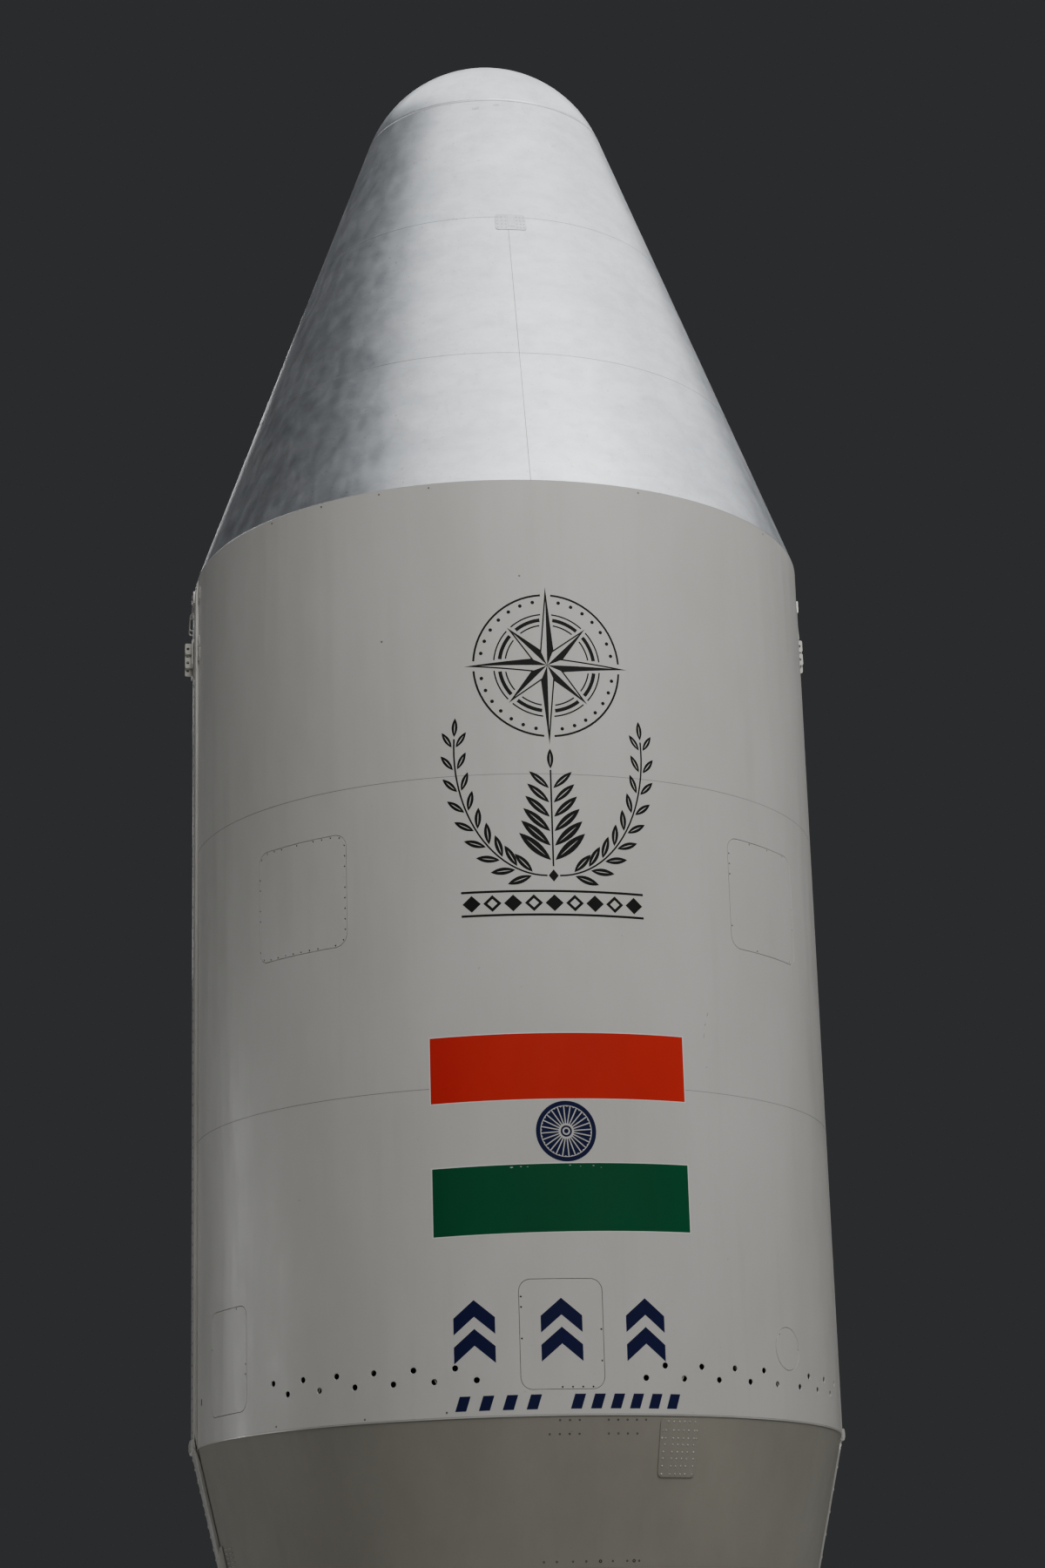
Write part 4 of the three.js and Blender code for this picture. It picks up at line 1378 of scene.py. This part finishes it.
def leafDrawing(u, v, direction, length, width):
    along = (math.cos(direction), math.sin(direction))

    def lens(start, end, half):
        upper, lower = [], []
        for at in range(9):
            share = at / 8
            reach = length * (start + (end - start) * share)
            side = half * math.sin(math.pi * share) ** ornament["leafPoint"] if 0 < at < 8 else 0
            upper.append((u + along[0] * reach - along[1] * side, v + along[1] * reach + along[0] * side))
            lower.append((u + along[0] * reach + along[1] * side, v + along[1] * reach - along[0] * side))
        return lower + upper[-2:0:-1]
    return lens(0, 1, width / 2), [lens(*ornament["leafCut"], ornament["leafCutHalf"])]


def sprayDrawings(side):
    middle, foot = ornament["middle"], ornament["stemFoot"]

    def stem(share):
        angle = math.radians(ornament["stemTurn"]) * share
        return (middle + side * (ornament["stemStart"] + ornament["stemSpread"] * math.sin(angle)),
                foot + ornament["stemRise"] * (1 - math.cos(angle)))

    def heading(share):
        (u1, v1), (u2, v2) = stem(share - 0.01), stem(share + 0.01)
        return math.atan2(v2 - v1, u2 - u1)

    half = ornament["stemWidth"] / 2
    shares = [at / 24 for at in range(25)]
    left = [around(*stem(share), half, heading(share) + math.pi / 2) for share in shares]
    right = [around(*stem(share), half, heading(share) - math.pi / 2) for share in shares]
    drawings = [(left + right[::-1], [])]
    count, (first, last) = ornament["leaves"], ornament["leafShares"]
    for number in range(count):
        share = first + (last - first) * number / (count - 1)
        size = 1 - ornament["leafShrink"] * share
        for turn in (1, -1):
            away = heading(share) + turn * math.pi / 2
            base = around(*stem(share), ornament["leafClear"], away)
            direction = heading(share) + turn * math.radians(ornament["leafTurn"])
            drawings.append(leafDrawing(*base, direction, ornament["leafLength"] * size,
                                        ornament["leafWidth"] * size))
    tip, size = around(*stem(1), ornament["leafClear"], heading(1)), ornament["tipLeaf"]
    drawings.append(leafDrawing(*tip, heading(1), ornament["leafLength"] * size,
                                ornament["leafWidth"] * size))
    return drawings


def trunkDrawings():
    middle, half = ornament["middle"], ornament["stemWidth"] / 2
    low, high = ornament["trunkFoot"], ornament["trunkTop"]
    drawings = [(rectangle(middle - half, middle + half, low, high), [])]
    length, width, count = ornament["trunkLeafLength"], ornament["trunkLeafWidth"], ornament["trunkLeaves"]
    clear, bothClear = ornament["trunkClear"]
    for number in range(count):
        size = 1 - ornament["trunkShrink"] * number / count
        height = low + clear + (high - low - bothClear) * number / count
        for turn in (1, -1):
            direction = math.pi / 2 - turn * math.radians(ornament["trunkLeafTurn"])
            drawings.append(leafDrawing(middle + turn * ornament["leafClear"], height, direction,
                                        length * size, width * size))
    shorter, slimmer = ornament["trunkTip"]
    drawings.append(leafDrawing(middle, high + ornament["trunkTipRise"], math.pi / 2,
                                length * shorter, width * slimmer))
    return drawings


def plinthDrawings():
    middle, half, line = ornament["middle"], ornament["bandHalf"], ornament["bandLine"]
    low, high = ornament["bandLow"], ornament["bandHigh"]
    drawings = [(rectangle(middle - half, middle + half, foot, foot + line), [])
                for foot in (low, high - line)]
    pitch = 2 * half / ornament["lozenges"]
    tall, wide = (high - low) / 2 - line * 2, pitch * ornament["lozengeWide"]
    hole = ornament["lozengeHole"]
    for number in range(ornament["lozenges"]):
        u, v = middle - half + pitch * (number + 0.5), (low + high) / 2
        holes = [lozenge(u, v, wide * hole, tall * hole)] if number % 2 else []
        drawings.append((lozenge(u, v, wide, tall), holes))
    drawings.append((lozenge(middle, ornament["stemFoot"], *ornament["tie"]), []))
    return drawings


# Navy marks low on the cylinder: stacked chevrons, and two rows of slanted bars
chevrons = {
    "outer": (-0.397, 0.397), "count": 2, "low": 0.235, "half": 0.095, "rise": 0.08, "thick": 0.075,
    "pitch": 0.13,
}
bars = {
    "low": 0.024, "high": 0.09, "slant": 0.022, "width": 0.05,
    "rows": ((-0.492, -0.12, 4), (0.03, 0.538, 6)),   # start, end, count
}


def chevronDrawings(middle):
    drawings = []
    left, right = middle - chevrons["half"], middle + chevrons["half"]
    rise, thick = chevrons["rise"], chevrons["thick"]
    for number in range(chevrons["count"]):
        low = chevrons["low"] + chevrons["pitch"] * number
        drawings.append(([(left, low), (middle, low + rise), (right, low), (right, low + thick),
                          (middle, low + rise + thick), (left, low + thick)], []))
    return drawings


def barDrawings():
    drawings = []
    low, high, slant, width = bars["low"], bars["high"], bars["slant"], bars["width"]
    for start, end, count in bars["rows"]:
        for number in range(count):
            left = start + (end - width - start) * number / (count - 1)
            right = left + width
            drawings.append(([(left, low), (right, low), (right + slant, high), (left + slant, high)], []))
    return drawings


# Scuffs in the paint: (azimuth, height, length, width, lean in degrees)
scuffs = {
    "wall": [
        (28.9, 1.876, 0.03, 0.006, 70), (28.3, 1.825, 0.022, 0.005, 50), (27.9, 1.77, 0.03, 0.007, 80),
        (28.2, 1.62, 0.016, 0.004, 30), (-46.0, 1.05, 0.02, 0.004, 15), (-12.0, 2.06, 0.014, 0.004, 40),
        (12.6, 2.22, 0.012, 0.003, -20), (31.0, 0.72, 0.016, 0.004, 60),
    ],
    "cone": [
        (-11.0, 7.03, 0.06, 0.026, 4), (-1.6, 7.052, 0.045, 0.02, 2), (11.3, 7.03, 0.07, 0.004, -64),
        (22.0, 6.8, 0.07, 0.004, 35), (-20.0, 6.78, 0.04, 0.005, 80),
    ],
    "thick": 0.0006, "lift": 0.0003, "corners": 18, "ragged": (0.55, 1.0),
}


def makeScuffs(name, finish):
    shape = newShape()
    for azimuth, height, length, width, lean in scuffs[name]:
        height += cylinderBase
        reference = wallRadius(height)
        along, across = math.cos(math.radians(lean)), math.sin(math.radians(lean))
        u, v = math.radians(azimuth) * reference, height
        ring = []
        for number in range(scuffs["corners"]):
            angle = 2 * math.pi * number / scuffs["corners"]
            ragged = random.uniform(*scuffs["ragged"])
            x, y = length / 2 * math.cos(angle) * ragged, width / 2 * math.sin(angle) * ragged
            ring.append((u + x * along - y * across, v + x * across + y * along))
        cutSheet(shape, fixed(ring), [], onWall("front", scuffs["lift"], reference), scuffs["thick"],
                 wallSide=1)
    makePiece(shape, f"front_{name}_scuffs", "front_half", [finish])


makeScuffs("wall", stainPaint)
makeScuffs("cone", stainedSilver)
for half in halfTurn:
    makeFilm(half + "_band_margins", half, f"{half}_half", whiteFilm, marginDrawings())
    makeFilm(half + "_red_band", half, f"{half}_half", redFilm, bandDrawing("red"))
    makeFilm(half + "_green_band", half, f"{half}_half", greenFilm, bandDrawing("green"))
    makeFilm(half + "_wheel", half, f"{half}_half", navyFilm, wheelDrawings())
makeFilm("front_ornament", "front", "front_half", blackFilm,
         starDrawings() + sprayDrawings(-1) + sprayDrawings(1) + trunkDrawings() + plinthDrawings())
makeFilm("front_chevrons", "front", "front_half", navyFilm,
         [drawing for middle in chevrons["outer"] for drawing in chevronDrawings(middle)] + barDrawings())
makeFilm("front_door_chevrons", "front", "front_lower_centre_door", navyFilm, chevronDrawings(0))
print("marks made")

# Carried-over nodes
for node, finish in (
    ("skirt_foot_ring", skirtPaint), ("skirt_wall", skirtPaint), ("skirt_top_ring", alloy),
    ("payload_deck", deckPaint), ("front_left_lugs", lugPaint), ("front_right_lugs", lugPaint),
    ("back_left_lugs", lugPaint), ("back_right_lugs", lugPaint), ("front_tail_bracket", lugPaint),
    ("back_tail_bracket", lugPaint),
):
    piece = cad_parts[node]
    piece.data.materials.clear()
    piece.data.materials.append(finish)

# Studio: a mid-grey floor whose far part glows so that it fades into the air, a high key light, a broad sky,
# strips at the left
studio = {
    "floor": (0.33, 0.33, 0.325, 1), "mottle": 1.06, "roughness": 0.8, "air": (0.03, 0.031, 0.033, 1),
    "reach": 60, "corners": 96, "under": 0.001, "fade": (7, 26), "glow": 0.45, "aim": 4.5,
}
lamps = {
    "key": {"azimuth": 16, "height": 13.5, "distance": 11.5, "size": (12, 7), "power": 1500,
            "colour": (1, 0.99, 0.97)},
    "sky": {"azimuth": 85, "height": 23, "distance": 3.7, "size": (28, 27), "power": 3600,
            "colour": (0.96, 0.98, 1)},
    "side": {"azimuth": -112, "height": 3.1, "distance": 9, "size": (0.5, 3.3), "power": 42},
    "strip": {"azimuth": -93, "height": 2.6, "distance": 9, "size": (0.2, 2.6), "power": 30},
    "back": {"azimuth": 178, "height": 12, "distance": 18, "size": (8, 8), "power": 1200},
}


def makeFloor():
    count = studio["corners"]
    mesh = bpy.data.meshes.new("floor")
    rim = [(*around(0, 0, studio["reach"], 2 * math.pi * at / count), 0) for at in range(count)]
    mesh.from_pydata(rim, [], [list(range(count))])
    finish, tree, shader = newFinish("floor")
    tone = addNoise(tree, (1, 1, 1), 4, 0.5, 0.8)
    lighter = tuple(min(1, value * studio["mottle"]) for value in studio["floor"])
    tree.links.new(addMix(tree, tone, studio["floor"], lighter), shader.inputs["Base Color"])
    shader.inputs["Roughness"].default_value = studio["roughness"]
    space = addNode(tree, "ShaderNodeTexCoord")
    reach = addNode(tree, "ShaderNodeVectorMath", {0: space.outputs["Object"]}, operation="LENGTH")
    # The floor glows more towards its rim, so that its far part matches the air
    near, far = studio["fade"]
    glow = addRamp(tree, reach.outputs["Value"], near, far, 0, studio["glow"])
    shader.inputs["Emission Color"].default_value = studio["air"]
    tree.links.new(glow, shader.inputs["Emission Strength"])
    mesh.materials.append(finish)
    floor = bpy.data.objects.new("floor", mesh)
    floor.location.z = -studio["under"]
    scene.collection.objects.link(floor)


def makeLamp(name, make):
    light = bpy.data.lights.new(name, "AREA")
    light.shape = "RECTANGLE"
    light.size, light.size_y = make["size"]
    light.energy = make["power"]
    light.color = make.get("colour", (1, 1, 1))
    lamp = bpy.data.objects.new(name, light)
    lamp.location = spot("front", make["azimuth"], make["distance"], make["height"])
    toAim = Vector((0, 0, studio["aim"])) - lamp.location
    lamp.rotation_euler = toAim.to_track_quat("-Z", "Y").to_euler()
    scene.collection.objects.link(lamp)


makeFloor()
for name, make in lamps.items():
    makeLamp(name + "_light", make)
world = bpy.data.worlds.new("studio_air")
world.use_nodes = True
world.node_tree.nodes["Background"].inputs["Color"].default_value = studio["air"]
scene.world = world
print("studio made")
